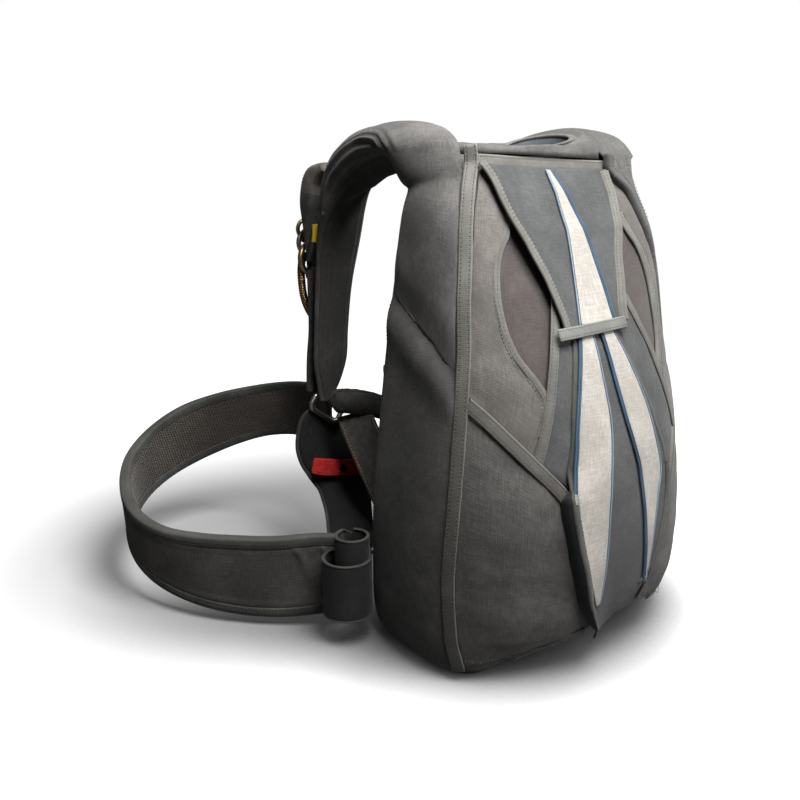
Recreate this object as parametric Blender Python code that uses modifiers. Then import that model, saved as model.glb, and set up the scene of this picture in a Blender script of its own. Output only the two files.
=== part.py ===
"""Packed sport parachute in its harness container, standing on its base.

Metres, +Z up. +Y is the wearer's forward side, where the shoulder straps and
leg pads reach out; -X is the wearer's left. The origin is the middle of the base.
"""

import math

import bmesh
import bpy
from mathutils import Matrix, Vector

# ---------------------------------------------------------------- sizes
GAP = 0.0009  # left between cloth layers that lie on each other
CLOTH = 0.0020  # a bound and stiffened layer of pack cloth
TAPE = 0.0014  # binding tape
ON_PACK = GAP  # underside of the panels that lie on the pack
ON_PANEL = ON_PACK + CLOTH + GAP  # underside of what lies on those panels
SIDE_TAPE_WIDTH = 0.014
TRIM_TAPE_WIDTH = 0.011
PIPING_RADIUS = 0.0013

# The packed container, a row for each level. For the right half, x and y of
# the seam tape, the widest part of the side and the corner of the back panel;
# y alone of the crown of the rear face and the middle of the back panel.
PACK_COLUMNS = ("z", "crown_y", "tape_x", "tape_y", "side_x", "side_y", "corner_x", "corner_y", "front_y")
PACK_ROWS = (
    (0.000, -0.072, 0.144, -0.064, 0.150, 0.004, 0.128, 0.068, 0.074),
    (0.014, -0.098, 0.156, -0.066, 0.165, 0.004, 0.138, 0.072, 0.077),
    (0.045, -0.128, 0.163, -0.063, 0.171, 0.006, 0.142, 0.072, 0.077),
    (0.105, -0.138, 0.166, -0.061, 0.173, 0.006, 0.143, 0.070, 0.075),
    (0.170, -0.133, 0.163, -0.063, 0.170, 0.006, 0.142, 0.067, 0.071),
    (0.235, -0.120, 0.156, -0.061, 0.164, 0.006, 0.139, 0.063, 0.066),
    (0.300, -0.097, 0.148, -0.056, 0.157, 0.004, 0.135, 0.059, 0.061),
    (0.360, -0.070, 0.140, -0.049, 0.150, 0.004, 0.129, 0.055, 0.057),
    (0.415, -0.047, 0.128, -0.040, 0.143, 0.006, 0.121, 0.052, 0.054),
    (0.450, -0.030, 0.114, -0.029, 0.135, 0.010, 0.112, 0.050, 0.053),
    (0.478, -0.014, 0.099, -0.018, 0.118, 0.014, 0.098, 0.048, 0.051),
)
REAR_MID = 0.55  # share of the tape's x where the rear face has its middle point
REAR_FALL = 0.17  # share of the way from crown to tape that it has fallen there
PACK_STEPS = (0, 0.5, 1, 1.4, 1.75, 2, 2.25, 2.6, 3, 3.4, 3.7, 3.9, 4.1, 4.4, 5)
PACK_TOP = 0.486
PACK_TOP_SHRINK = 0.90

SHOULDER = 3.7  # the side panel ends here in front, round the pack from the crown
SIDE_LIFT = ON_PACK + 0.0004
SIDE_LEVELS = (0.014, 0.045, 0.105, 0.17, 0.235, 0.3, 0.36, 0.415, 0.456)

# Bands of the wearer's left. Each row holds the band's middle, the direction
# across it, its width and thickness, and how far its middle bows out.
BAND_COLUMNS = ("x", "y", "z", "across_x", "across_y", "across_z", "width", "thick", "bow")
# From the top of the side panel over the shoulder to the pointed tip.
STRAP_ROWS = (
    (-0.1390, 0.014, 0.461, -0.03, -1.00, 0.00, 0.076, 0.006, 0.006),
    (-0.1335, 0.018, 0.475, 0.14, -0.97, 0.02, 0.077, 0.010, 0.006),
    (-0.1275, 0.032, 0.487, 0.40, -0.86, 0.08, 0.080, 0.014, 0.004),
    (-0.1205, 0.060, 0.495, 0.68, -0.56, 0.32, 0.081, 0.016, 0.002),
    (-0.1150, 0.094, 0.501, 0.82, -0.22, 0.46, 0.078, 0.017, 0.000),
    (-0.1110, 0.130, 0.504, 0.87, -0.06, 0.48, 0.071, 0.017, 0.000),
    (-0.1065, 0.164, 0.496, 0.90, 0.10, 0.40, 0.061, 0.016, 0.000),
    (-0.1040, 0.190, 0.452, 0.96, 0.02, 0.18, 0.060, 0.015, 0.000),
    (-0.1005, 0.203, 0.402, 0.97, 0.10, 0.06, 0.057, 0.014, 0.000),
    (-0.1015, 0.210, 0.352, 0.97, 0.22, 0.00, 0.054, 0.014, 0.000),
    (-0.1045, 0.213, 0.302, 0.96, 0.26, 0.00, 0.052, 0.013, 0.000),
    (-0.1080, 0.211, 0.265, 0.96, 0.26, 0.00, 0.050, 0.012, 0.000),
    (-0.1130, 0.208, 0.241, 0.97, 0.22, 0.00, 0.034, 0.011, 0.000),
    (-0.1180, 0.206, 0.227, 0.98, 0.18, 0.00, 0.020, 0.009, 0.000),
    (-0.1220, 0.204, 0.217, 0.98, 0.18, 0.00, 0.008, 0.006, 0.000),
)
# The wearer's right shoulder is fuller: added to y, z and width of the first rows.
FULLER_ROWS = (
    (-0.004, 0.001, 0.004),
    (-0.005, 0.004, 0.010),
    (-0.005, 0.009, 0.012),
    (-0.003, 0.009, 0.008),
    (0.000, 0.002, 0.002),
)
FULLER_EDGE = 0.0080  # how far the right side panel's rear edge stands off at the top
FULLER_FROM = 0.310  # height from which it does
FULLER_SHIFT = 0.14  # and how far round the pack it reaches over the rear face
# Packed riser, from under the shoulder down to the rings.
RISER_ROWS = (
    (-0.106, 0.197, 0.481, 1.0, 0.0, 0.0, 0.040, 0.010, 0.0),
    (-0.107, 0.217, 0.471, 1.0, 0.0, 0.0, 0.049, 0.022, 0.0),
    (-0.108, 0.225, 0.446, 1.0, 0.0, 0.0, 0.050, 0.025, 0.0),
    (-0.108, 0.227, 0.420, 1.0, 0.0, 0.0, 0.046, 0.015, 0.0),
    (-0.107, 0.227, 0.385, 1.0, 0.0, 0.0, 0.043, 0.008, 0.0),
    (-0.106, 0.228, 0.352, 1.0, 0.0, 0.0, 0.043, 0.006, 0.0),
)
# Main lift web, in front of the shoulder strap.
LIFT_WEB_ROWS = (
    (-0.106, 0.2265, 0.346, 1.0, 0.0, 0.0, 0.043, 0.005, 0.0),
    (-0.107, 0.2265, 0.305, 1.0, 0.0, 0.0, 0.043, 0.005, 0.0),
    (-0.112, 0.2250, 0.262, 1.0, 0.0, 0.0, 0.043, 0.005, 0.0),
    (-0.116, 0.2220, 0.224, 1.0, 0.0, 0.0, 0.042, 0.005, 0.0),
)
HIP_ROLL_ROWS = (
    (-0.133, 0.1725, 0.2250, 0.0, -0.3, 0.95, 0.014, 0.014, 0.0),
    (-0.128, 0.1715, 0.2245, 0.0, -0.3, 0.95, 0.025, 0.025, 0.0),
    (-0.112, 0.1690, 0.2220, 0.0, -0.3, 0.95, 0.027, 0.027, 0.0),
    (-0.090, 0.1620, 0.2170, 0.1, -0.3, 0.95, 0.027, 0.024, 0.0),
    (-0.072, 0.1440, 0.2090, 0.2, -0.3, 0.95, 0.027, 0.018, 0.0),
    (-0.062, 0.1180, 0.2000, 0.2, -0.1, 0.95, 0.029, 0.012, 0.0),
    (-0.060, 0.0900, 0.1940, 0.2, 0.0, 0.95, 0.030, 0.007, 0.0),
)
LATERAL_ROWS = (
    (-0.108, 0.1725, 0.1975, 0.80, -0.55, 0.15, 0.041, 0.004, 0.0),
    (-0.117, 0.154, 0.1900, 0.80, -0.55, 0.15, 0.041, 0.004, 0.0),
    (-0.126, 0.133, 0.1720, 0.82, -0.52, 0.15, 0.041, 0.004, 0.0),
    (-0.131, 0.111, 0.1460, 0.88, -0.40, 0.15, 0.041, 0.004, 0.0),
    (-0.129, 0.092, 0.1200, 0.95, -0.20, 0.15, 0.041, 0.004, 0.0),
    (-0.124, 0.080, 0.0980, 1.00, -0.04, 0.05, 0.041, 0.004, 0.0),
)
HIP_PAD_ROWS = (
    (-0.112, 0.221, 0.1950, 1.0, 0.0, 0.0, 0.040, 0.008, 0.0),
    (-0.116, 0.223, 0.1850, 1.0, 0.0, 0.0, 0.060, 0.011, 0.0),
    (-0.114, 0.222, 0.1600, 1.0, 0.0, 0.0, 0.074, 0.012, 0.0),
    (-0.108, 0.213, 0.1350, 1.0, -0.1, 0.0, 0.070, 0.012, 0.0),
    (-0.107, 0.194, 0.1130, 1.0, -0.2, 0.0, 0.056, 0.011, 0.0),
    (-0.112, 0.172, 0.1000, 1.0, -0.3, 0.0, 0.034, 0.008, 0.0),
)
RED_TAB_ROWS = (
    (-0.147, 0.1975, 0.1440, 0.10, 0.15, 0.98, 0.018, 0.003, 0.0),
    (-0.132, 0.1925, 0.1400, 0.10, 0.00, 0.99, 0.021, 0.003, 0.0),
    (-0.110, 0.1895, 0.1360, 0.15, 0.10, 0.98, 0.019, 0.003, 0.0),
    (-0.084, 0.1880, 0.1320, 0.20, 0.10, 0.98, 0.020, 0.003, 0.0),
)

# Leg pad of the wearer's left, from the hip round the leg and back to the hip.
LEG_COLUMNS = ("x", "y", "low", "high", "thick", "lean")
LEG_ROWS = (
    (-0.134, 0.146, 0.072, 0.112, 0.006, 0.000),
    (-0.154, 0.112, 0.050, 0.110, 0.007, 0.000),
    (-0.174, 0.094, 0.028, 0.106, 0.008, 0.000),
    (-0.192, 0.096, 0.018, 0.104, 0.009, 0.000),
    (-0.210, 0.109, 0.014, 0.104, 0.010, 0.001),
    (-0.236, 0.130, 0.011, 0.101, 0.011, 0.002),
    (-0.266, 0.160, 0.011, 0.100, 0.011, 0.003),
    (-0.296, 0.198, 0.016, 0.099, 0.011, 0.004),
    (-0.318, 0.242, 0.026, 0.099, 0.011, 0.004),
    (-0.327, 0.288, 0.040, 0.107, 0.011, 0.004),
    (-0.319, 0.336, 0.056, 0.122, 0.011, 0.003),
    (-0.293, 0.381, 0.072, 0.142, 0.011, 0.002),
    (-0.250, 0.412, 0.086, 0.162, 0.011, 0.000),
    (-0.200, 0.424, 0.100, 0.180, 0.011, -0.002),
    (-0.152, 0.414, 0.116, 0.192, 0.011, -0.003),
    (-0.113, 0.388, 0.130, 0.201, 0.010, -0.002),
    (-0.088, 0.350, 0.138, 0.209, 0.009, 0.000),
    (-0.079, 0.308, 0.141, 0.214, 0.008, 0.000),
    (-0.082, 0.270, 0.142, 0.213, 0.008, 0.000),
    (-0.092, 0.243, 0.142, 0.208, 0.007, 0.000),
)

# The stowed end of the leg strap, wound into an upright roll.
ROLL_MIDDLE = (-0.194, 0.063)
ROLL_RADIUS = (0.0230, 0.0130)  # of the outer and the inner end
ROLL_TURNS = 2.0
ROLL_CLOTH = 0.0026
ROLL_LOW = (0.031, 0.040)
ROLL_HIGH = (0.084, 0.116)

# Three-ring release: middle, radius and wire radius of each ring.
RELEASE_RINGS = (
    ("large_ring", (-0.1075, 0.2385, 0.3680), 0.0185, 0.0028),
    ("middle_ring", (-0.1075, 0.2480, 0.3920), 0.0145, 0.0024),
    ("small_ring", (-0.1075, 0.2558, 0.4090), 0.0105, 0.0020),
)
HOUSING_RADIUS = 0.0042
HOUSING_ROUTE = ((-0.121, 0.2490, 0.371), (-0.122, 0.2480, 0.355), (-0.124, 0.2440, 0.335),
                 (-0.126, 0.2385, 0.310), (-0.126, 0.2355, 0.285), (-0.124, 0.2335, 0.262))
ADAPTER_WIRE = 0.0024
ADAPTER_MIDDLE = (-0.116, 0.2125, 0.206)
ADAPTER_SIZE = (0.044, 0.020)
ADAPTER_SLOPE = math.radians(-36)

# Padded collar round the neck, half of it, from the nape to the shoulder.
COLLAR_COLUMNS = ("x", "y", "low", "high", "thick")
COLLAR_ROWS = (
    (0.000, 0.000, 0.4875, 0.4985, 0.011),
    (0.030, 0.002, 0.4875, 0.4990, 0.011),
    (0.056, 0.010, 0.4880, 0.5015, 0.011),
    (0.072, 0.026, 0.4890, 0.5070, 0.010),
    (0.077, 0.050, 0.4920, 0.5130, 0.009),
    (0.072, 0.078, 0.4970, 0.5170, 0.008),
)

# Flaps and panels of the rear face, for the wearer's left: x and z of borders.
PIN_FLAP = ((0.096, 0.472), (0.091, 0.445), (0.080, 0.423), (0.069, 0.403),
            (0.058, 0.381), (0.051, 0.357), (0.047, 0.338), (0.045, 0.327))
MAIN_FLAP = ((0.026, 0.3255), (0.036, 0.290), (0.044, 0.265), (0.057, 0.225), (0.067, 0.203),
             (0.076, 0.190), (0.073, 0.172), (0.066, 0.140), (0.055, 0.095), (0.044, 0.060),
             (0.032, 0.036))
PIN_EDGE_LIFT = 0.0075  # how far the pin flap's borders stand off the pack
FIN_LIFT = 0.0110  # and the main flap's borders over its lower half
FIN_ROW = 5  # the row of MAIN_FLAP with the flap's corner
UPPER_INLAY = ((0.0015, 0.470), (0.0095, 0.440), (0.0145, 0.405), (0.0190, 0.363), (0.0230, 0.329))
INLAY_COLUMNS = ("z", "outer", "inner")
LOWER_INLAY = (
    (0.3235, 0.0200, 0.0085),
    (0.2900, 0.0310, 0.0095),
    (0.2650, 0.0395, 0.0100),
    (0.2430, 0.0460, 0.0115),
    (0.2230, 0.0530, 0.0150),
    (0.1980, 0.0640, 0.0190),
    (0.1850, 0.0690, 0.0210),
    (0.1420, 0.0610, 0.0260),
    (0.1130, 0.0530, 0.0300),
    (0.0900, 0.0465, 0.0350),
    (0.0700, 0.0405, 0.0395),
)
RESERVE_EDGE = ((-0.092, 0.455), (-0.093, 0.430), (-0.098, 0.402), (-0.107, 0.376), (-0.110, 0.342),
                (-0.102, 0.311), (-0.088, 0.284), (-0.0855, 0.270), (-0.098, 0.236), (-0.106, 0.218))
UPRIGHT_TAPE = ((-0.063, 0.338), (-0.066, 0.320), (-0.084, 0.270), (-0.096, 0.237), (-0.1045, 0.217))
DIAGONAL_TAPE = ((-0.1380, 0.255), (-0.1250, 0.2375), (-0.1050, 0.2115), (-0.0885, 0.191))
BOTTOM_TAPE = ((-0.128, 0.008), (-0.112, 0.016), (-0.095, 0.028), (-0.075, 0.038), (-0.052, 0.044))


# ---------------------------------------------------------------- the pack's skin
def curve_value(values, t):
    """Catmull-Rom through values at whole numbers of t."""
    last = len(values) - 1
    i = max(0, min(last - 1, int(math.floor(t))))
    f = t - i
    p0, p1 = values[max(0, i - 1)], values[i]
    p2, p3 = values[i + 1], values[min(last, i + 2)]
    return 0.5 * (
        2 * p1
        + (p2 - p0) * f
        + (2 * p0 - 5 * p1 + 4 * p2 - p3) * f * f
        + (3 * p1 - p0 - 3 * p2 + p3) * f * f * f
    )


def along(points, share):
    """The point at a share of the way along a list of points, as a smooth curve."""
    t = share * (len(points) - 1)
    return [curve_value([p[k] for p in points], t) for k in range(len(points[0]))]


def pack_level(z):
    """The columns of PACK_ROWS at height z."""
    heights = [row[0] for row in PACK_ROWS]
    z = max(heights[0], min(heights[-1], z))
    i = max(k for k, h in enumerate(heights[:-1]) if h <= z)
    t = i + (z - heights[i]) / (heights[i + 1] - heights[i])
    return {name: curve_value([row[k] for row in PACK_ROWS], t) for k, name in enumerate(PACK_COLUMNS)}


def pack_point(s, z):
    """A point of the pack's skin. s runs round a level: 0 at the crown of the rear
    face, 2 at the seam tape, 3 at the side, 4 at the back panel's corner, 5 at its
    middle, and negative on the wearer's left."""
    s = (s + 5) % 10 - 5
    row = pack_level(z)
    half = [
        (0.0, row["crown_y"]),
        (REAR_MID * row["tape_x"], row["crown_y"] + REAR_FALL * (row["tape_y"] - row["crown_y"])),
        (row["tape_x"], row["tape_y"]),
        (row["side_x"], row["side_y"]),
        (row["corner_x"], row["corner_y"]),
        (0.0, row["front_y"]),
    ]
    loop = [(-half[1][0], half[1][1])] + half + [(-half[4][0], half[4][1])]
    t = abs(s) + 1
    x, y = (curve_value([p[k] for p in loop], t) for k in (0, 1))
    return Vector((math.copysign(x, s), y, z))


def on_pack(s, z, lift):
    """The point that stands off the pack's skin by lift."""
    step = 0.02
    round_it = pack_point(s + step, z) - pack_point(s - step, z)
    up_it = pack_point(s, z + step / 5) - pack_point(s, z - step / 5)
    return pack_point(s, z) + round_it.cross(up_it).normalized() * lift


def rear_share(x, z):
    """s of the point of the rear face that has this x."""
    low, high = 0.0, 3.0
    for _ in range(24):
        middle = (low + high) / 2
        if pack_point(middle, z).x < abs(x):
            low = middle
        else:
            high = middle
    return math.copysign(low, x)


def on_rear(x, z, lift):
    return on_pack(rear_share(x, z), z, lift)


# ---------------------------------------------------------------- making objects
def finish(name, colour, roughness, metallic=0.0):
    material = bpy.data.materials.new(name)
    material.use_nodes = True
    shader = material.node_tree.nodes["Principled BSDF"]
    shader.inputs["Base Color"].default_value = (*colour, 1.0)
    shader.inputs["Roughness"].default_value = roughness
    shader.inputs["Metallic"].default_value = metallic
    return material


def add_object(name, data, material):
    obj = bpy.data.objects.new(name, data)
    data.materials.append(material)
    PARTS.objects.link(obj)
    return obj


def add_mesh(name, mesh_data, material, smooth=True):
    mesh = bpy.data.meshes.new(name)
    mesh_data.to_mesh(mesh)
    mesh_data.free()
    if smooth:
        mesh.shade_smooth()
        mesh.set_sharp_from_angle(angle=math.radians(50))
    return add_object(name, mesh, material)


def sheet(name, place, columns, rows, thickness, material):
    """A grid whose corners place(u, v) puts, thickened outwards. u runs from the
    wearer's left to the right and v from the top down."""
    mesh = bmesh.new()
    bmesh.ops.create_grid(mesh, x_segments=columns, y_segments=rows, size=0.5)
    for vertex in mesh.verts:
        vertex.co = place(vertex.co.x + 0.5, 0.5 - vertex.co.y)
    obj = add_mesh(name, mesh, material)
    thicken = obj.modifiers.new("Cloth", "SOLIDIFY")
    thicken.thickness = thickness
    thicken.offset = 1.0
    thicken.use_even_offset = True
    return obj


def loft(name, rings, material, closed=False):
    """A solid through rings with the same number of points each."""
    mesh = bmesh.new()
    made = [[mesh.verts.new(point) for point in ring] for ring in rings]
    count = len(rings[0])
    pairs = list(zip(made, made[1:]))
    if closed:
        pairs.append((made[-1], made[0]))
    for ring, after in pairs:
        for i in range(count):
            j = (i + 1) % count
            mesh.faces.new((ring[i], ring[j], after[j], after[i]))
    if not closed:
        mesh.faces.new(reversed(made[0]))
        mesh.faces.new(made[-1])
    bmesh.ops.recalc_face_normals(mesh, faces=mesh.faces[:])
    return add_mesh(name, mesh, material)


def pad_section(middle, across, normal, width, thick, bow=0.0, points=10):
    """A flat oval section with full sides, its middle bowed out by bow."""
    ring = []
    for i in range(points):
        angle = 2 * math.pi * (i + 0.5) / points
        c, s = math.cos(angle), math.sin(angle)
        a = math.copysign(abs(c) ** 0.55, c)
        n = math.copysign(abs(s) ** 0.75, s) * thick / 2
        ring.append(middle + across * (a * width / 2) + normal * (n - bow * a * a))
    return ring


def web_section(middle, across, normal, width, thick, bow=0.0):
    corners = ((-1, -1), (1, -1), (1, 1), (-1, 1))
    return [middle + across * (a * width / 2) + normal * (n * thick / 2) for a, n in corners]


def band(name, rows, steps, material, section=web_section):
    """A band along smooth rows of BAND_COLUMNS."""
    rings = []
    for i in range(steps + 1):
        share = i / steps
        here = along(rows, share)
        ahead = Vector(along(rows, min(1, share + 0.01))[:3])
        behind = Vector(along(rows, max(0, share - 0.01))[:3])
        forward = (ahead - behind).normalized()
        across = Vector(here[3:6])
        across = (across - forward * across.dot(forward)).normalized()
        outward = across.cross(forward)
        rings.append(section(Vector(here[:3]), across, outward, *here[6:]))
    return loft(name, rings, material)


def tube(name, points, radius, steps, material):
    """A round cord along a smooth curve through points."""
    data = bpy.data.curves.new(name, "CURVE")
    data.dimensions = "3D"
    data.bevel_depth = radius
    data.bevel_resolution = 2
    data.use_fill_caps = True
    spline = data.splines.new("POLY")
    spline.points.add(steps)
    for i in range(steps + 1):
        spline.points[i].co = (*along(points, i / steps), 1.0)
    return add_object(name, data, material)


def wire_frame(name, corners, radius, material):
    """A closed frame of bent wire."""
    data = bpy.data.curves.new(name, "CURVE")
    data.dimensions = "3D"
    data.bevel_depth = radius
    data.bevel_resolution = 1
    spline = data.splines.new("POLY")
    spline.use_cyclic_u = True
    spline.points.add(len(corners) - 1)
    for point, corner in zip(spline.points, corners):
        point.co = (*corner, 1.0)
    return add_object(name, data, material)


def ring(name, middle, radius, wire, turn, material):
    bpy.ops.mesh.primitive_torus_add(
        location=middle, rotation=turn, major_radius=radius, minor_radius=wire,
        major_segments=20, minor_segments=6,
    )
    obj = bpy.context.object
    obj.name = name
    obj.data.shade_smooth()
    obj.data.materials.append(material)
    for collection in obj.users_collection:
        collection.objects.unlink(obj)
    PARTS.objects.link(obj)
    return obj


def mirrored(obj):
    """The mirror image, on the wearer's right, of a piece made for the left."""
    bpy.context.view_layer.update()
    graph = bpy.context.evaluated_depsgraph_get()
    mesh = bpy.data.meshes.new_from_object(obj.evaluated_get(graph))
    mesh.transform(Matrix.Scale(-1, 4, (1, 0, 0)) @ obj.matrix_world)
    mesh.flip_normals()
    twin = bpy.data.objects.new(obj.name + "_right", mesh)
    PARTS.objects.link(twin)


def both_sides(obj):
    """Adds a piece's mirror image and renames the piece itself for the left."""
    mirrored(obj)
    obj.name += "_left"


def right_only(obj):
    mirrored(obj)
    bpy.data.objects.remove(obj)


def fuller(z):
    """How full the wearer's right shoulder is at a height, from 0 to 1."""
    share = max(0.0, min(1.0, (z - FULLER_FROM) / (PACK_ROWS[-1][0] - FULLER_FROM)))
    return share * share * (3 - 2 * share)


def tape_along(name, points, width, steps, lift, material):
    """A tape whose middle runs through points of (x, z) on the rear face."""

    def place(u, v):
        x, z = along(points, v)
        ahead, behind = along(points, min(1, v + 0.02)), along(points, max(0, v - 0.02))
        a, b = on_rear(*ahead, lift), on_rear(*behind, lift)
        middle = on_rear(x, z, lift)
        side_ways = (on_rear(x, z, lift + 0.01) - middle).cross(a - b).normalized()
        aside = middle + side_ways * ((u - 0.5) * width)
        return on_rear(aside.x, aside.z, lift)

    return sheet(name, place, 2, steps, TAPE, material)


# ---------------------------------------------------------------- the container
def make_pack(cloth):
    half = list(PACK_STEPS)
    round_it = [-s for s in reversed(half[1:-1])] + half
    levels = [row[0] for row in PACK_ROWS]
    levels = sorted(levels + [(a + b) / 2 for a, b in zip(levels[1:-1], levels[2:])][::2])
    rings = [[pack_point(s, z) for s in round_it] for z in levels]
    middle = Vector((0, 0.018, 0))
    for height, shrink in ((PACK_TOP - 0.002, 0.97), (PACK_TOP, PACK_TOP_SHRINK)):
        top = [middle + (p - middle) * shrink for p in rings[len(levels) - 1]]
        rings.append([Vector((p.x, p.y, height)) for p in top])
    loft("pack_body", rings, cloth)


def make_back_panel(cloth):
    def place(u, v):
        z = 0.452 + (0.040 - 0.452) * v
        s = 4.42 + (5.58 - 4.42) * u
        belly = math.sin(math.pi * v) ** 0.5 * math.sin(math.pi * u) ** 0.5
        return on_pack(s, z, ON_PACK + 0.003 * belly)

    sheet("back_pad", place, 10, 8, 0.006, cloth)


def make_side_panels(cloth):
    steps = [s for s in PACK_STEPS if 2 <= s <= SHOULDER]
    columns, rows = len(steps) - 1, 2 * len(SIDE_LEVELS) - 2

    def place(u, v, full=0.0):
        s = curve_value(steps, (1 - u) * columns)
        z = curve_value(SIDE_LEVELS, (1 - v) * (len(SIDE_LEVELS) - 1))
        edge = full * fuller(z) * (1 - (s - 2) / (SHOULDER - 2)) ** 2
        return on_pack(-s + FULLER_SHIFT * edge, z, SIDE_LIFT + FULLER_EDGE * edge)

    def fuller_place(u, v):
        return place(u, v, 1.0)

    sheet("side_panel_left", place, columns, rows, CLOTH, cloth)
    right_only(sheet("side_panel", fuller_place, columns, rows, CLOTH, cloth))


def between_borders(left, right, lift, crowd=1.0):
    """Places a panel between two borders, with more rows at its foot where crowd is over 1."""

    def place(u, v):
        share = 1 - (1 - v) ** crowd
        a, b = along(left, share), along(right, share)
        return on_rear(a[0] + (b[0] - a[0]) * u, a[1] + (b[1] - a[1]) * u, lift)

    return place


def tape_border(high, low, inset, count=6):
    """Points just inside the side tape's line, from one height down to another."""
    heights = [high + (low - high) * i / (count - 1) for i in range(count)]
    return [(-pack_level(z)["tape_x"] + inset, z) for z in heights]


def make_rear_panels(cloth):
    seam = 0.001
    outer = tape_border(0.455, 0.278, seam)
    both_sides(sheet("reserve_panel", between_borders(outer, RESERVE_EDGE, ON_PACK), 5, 12, CLOTH, cloth))

    left = [(x + 0.002, z) for x, z in UPRIGHT_TAPE]
    right = ((-0.020, 0.324), (-0.028, 0.290), (-0.036, 0.265), (-0.049, 0.225), (-0.073, 0.185))
    both_sides(sheet("top_flap_panel", between_borders(left, right, ON_PACK), 4, 7, CLOTH, cloth))

    outer = tape_border(0.262, 0.016, seam)
    right = ((-0.066, 0.170), (-0.056, 0.130), (-0.045, 0.090), (-0.030, 0.050))
    both_sides(sheet("lower_panel", between_borders(outer, right, ON_PACK, 1.5), 7, 12, CLOTH, cloth))


def pin_flap_lift(u):
    return ON_PANEL + (PIN_EDGE_LIFT - ON_PANEL) * abs(2 * u - 1) ** 3


def main_flap_lift(u, v):
    lower = max(0.0, min(1.0, (v - 0.35) / 0.15))
    edge = abs(2 * u - 1) ** 3
    return ON_PANEL + (FIN_LIFT - ON_PANEL) * lower * edge


def flap_place(border, lift_at, extra=0.0):
    def place(u, v):
        half_width, z = along(border, v)
        return on_rear((2 * u - 1) * half_width, z, lift_at(u, v) + extra)

    return place


def on_main_flap(x, z, extra):
    """A point over the main flap's outer face."""
    low, high = 0.0, 1.0
    for _ in range(20):
        middle = (low + high) / 2
        if along(MAIN_FLAP, middle)[1] > z:
            low = middle
        else:
            high = middle
    u = 0.5 + 0.5 * x / along(MAIN_FLAP, low)[0]
    return on_rear(x, z, main_flap_lift(u, low) + CLOTH + extra)


def make_flaps(cloth, edge):
    sheet("pin_flap", flap_place(PIN_FLAP, lambda u, v: pin_flap_lift(u)), 8, 9, CLOTH, cloth)
    sheet("main_flap", flap_place(MAIN_FLAP, main_flap_lift), 8, 14, CLOTH, cloth)

    corner = FIN_ROW / (len(MAIN_FLAP) - 1)

    def fin_place(u, v):
        half_width, z = along(MAIN_FLAP, corner + (1 - corner) * (0.03 + 0.97 * v))
        lift = ON_PANEL + (FIN_LIFT + 0.003 - ON_PANEL) * u
        return on_rear(-half_width - 0.0012, z, lift)

    both_sides(sheet("main_flap_edge", fin_place, 1, 8, 0.0030, edge))


def make_inlays(pale, blue):
    lift = GAP

    def upper(u, v):
        half_width, z = along(UPPER_INLAY, v)
        x = (2 * u - 1) * half_width
        return on_rear(x, z, pin_flap_lift(0.5) + CLOTH + lift)

    sheet("upper_inlay", upper, 4, 7, TAPE, pale)

    def lower(u, v):
        z, outer, inner = along(LOWER_INLAY, v)
        return on_main_flap(-outer + (outer - inner) * u, z, lift)

    both_sides(sheet("lower_inlay", lower, 4, 12, TAPE, pale))

    beside = 0.0022
    for name, sign in (("upper_piping_left", -1), ("upper_piping_right", 1)):
        route = [
            on_rear(sign * (w + beside), z, pin_flap_lift(0.5) + CLOTH + GAP + PIPING_RADIUS)
            for w, z in UPPER_INLAY
        ]
        tube(name, route, PIPING_RADIUS, 9, blue)
    for name, sign, column, away in (
        ("outer_piping_left", -1, 1, beside),
        ("inner_piping_right", 1, 2, -beside),
    ):
        route = [
            on_main_flap(sign * (row[column] + away), row[0], GAP + PIPING_RADIUS)
            for row in LOWER_INLAY
            if row[0] > 0.1
        ]
        tube(name, route, PIPING_RADIUS, 14, blue)


def make_tapes(tape):
    low, high = 0.014, 0.484

    def side_place(u, v, full=0.0):
        z = high + (low - high) * v
        reach = (pack_point(2.1, z) - pack_point(1.9, z)).length / 0.2
        edge = full * fuller(z)
        s = -2 + FULLER_SHIFT * edge + (u - 0.5) * SIDE_TAPE_WIDTH / reach
        return on_pack(s, z, ON_PANEL + SIDE_LIFT - ON_PACK + FULLER_EDGE * edge)

    def fuller_place(u, v):
        return side_place(u, v, 1.0)

    sheet("side_tape_left", side_place, 3, 20, TAPE, tape)
    right_only(sheet("side_tape", fuller_place, 3, 20, TAPE, tape))
    both_sides(tape_along("diagonal_tape", DIAGONAL_TAPE, SIDE_TAPE_WIDTH, 6, ON_PANEL, tape))
    both_sides(tape_along("upright_tape", UPRIGHT_TAPE[:-1], TRIM_TAPE_WIDTH, 6, ON_PANEL, tape))
    both_sides(tape_along("bottom_tape", BOTTOM_TAPE, 0.008, 9, ON_PANEL, tape))

    def band_place(u, v):
        x, z = -0.093 + 0.186 * u, 0.4845 - 0.0100 * v
        return on_rear(x, z, ON_PACK)

    sheet("top_band", band_place, 8, 1, TAPE, tape)

    def keeper_place(u, v):
        x, z = -0.049 + 0.098 * u, 0.3320 - 0.0110 * v
        return on_rear(x, z, ON_PANEL + CLOTH + TAPE + 3 * GAP)

    sheet("keeper_band", keeper_place, 8, 1, TAPE, tape)


# ---------------------------------------------------------------- the harness
def make_collar(cloth):
    half = [along(COLLAR_ROWS, i / 7) for i in range(8)]
    rows = [[-row[0], *row[1:]] for row in reversed(half[1:])] + half
    rings = []
    for i, (x, y, low, high, thick) in enumerate(rows):
        behind, ahead = rows[max(0, i - 1)], rows[min(len(rows) - 1, i + 1)]
        forward = Vector((ahead[0] - behind[0], ahead[1] - behind[1], 0)).normalized()
        outward = forward.cross(Vector((0, 0, 1)))
        middle = Vector((x, y, (low + high) / 2))
        rings.append(pad_section(middle, Vector((0, 0, 1)), outward, high - low, thick))
    loft("collar", rings, cloth)


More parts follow.
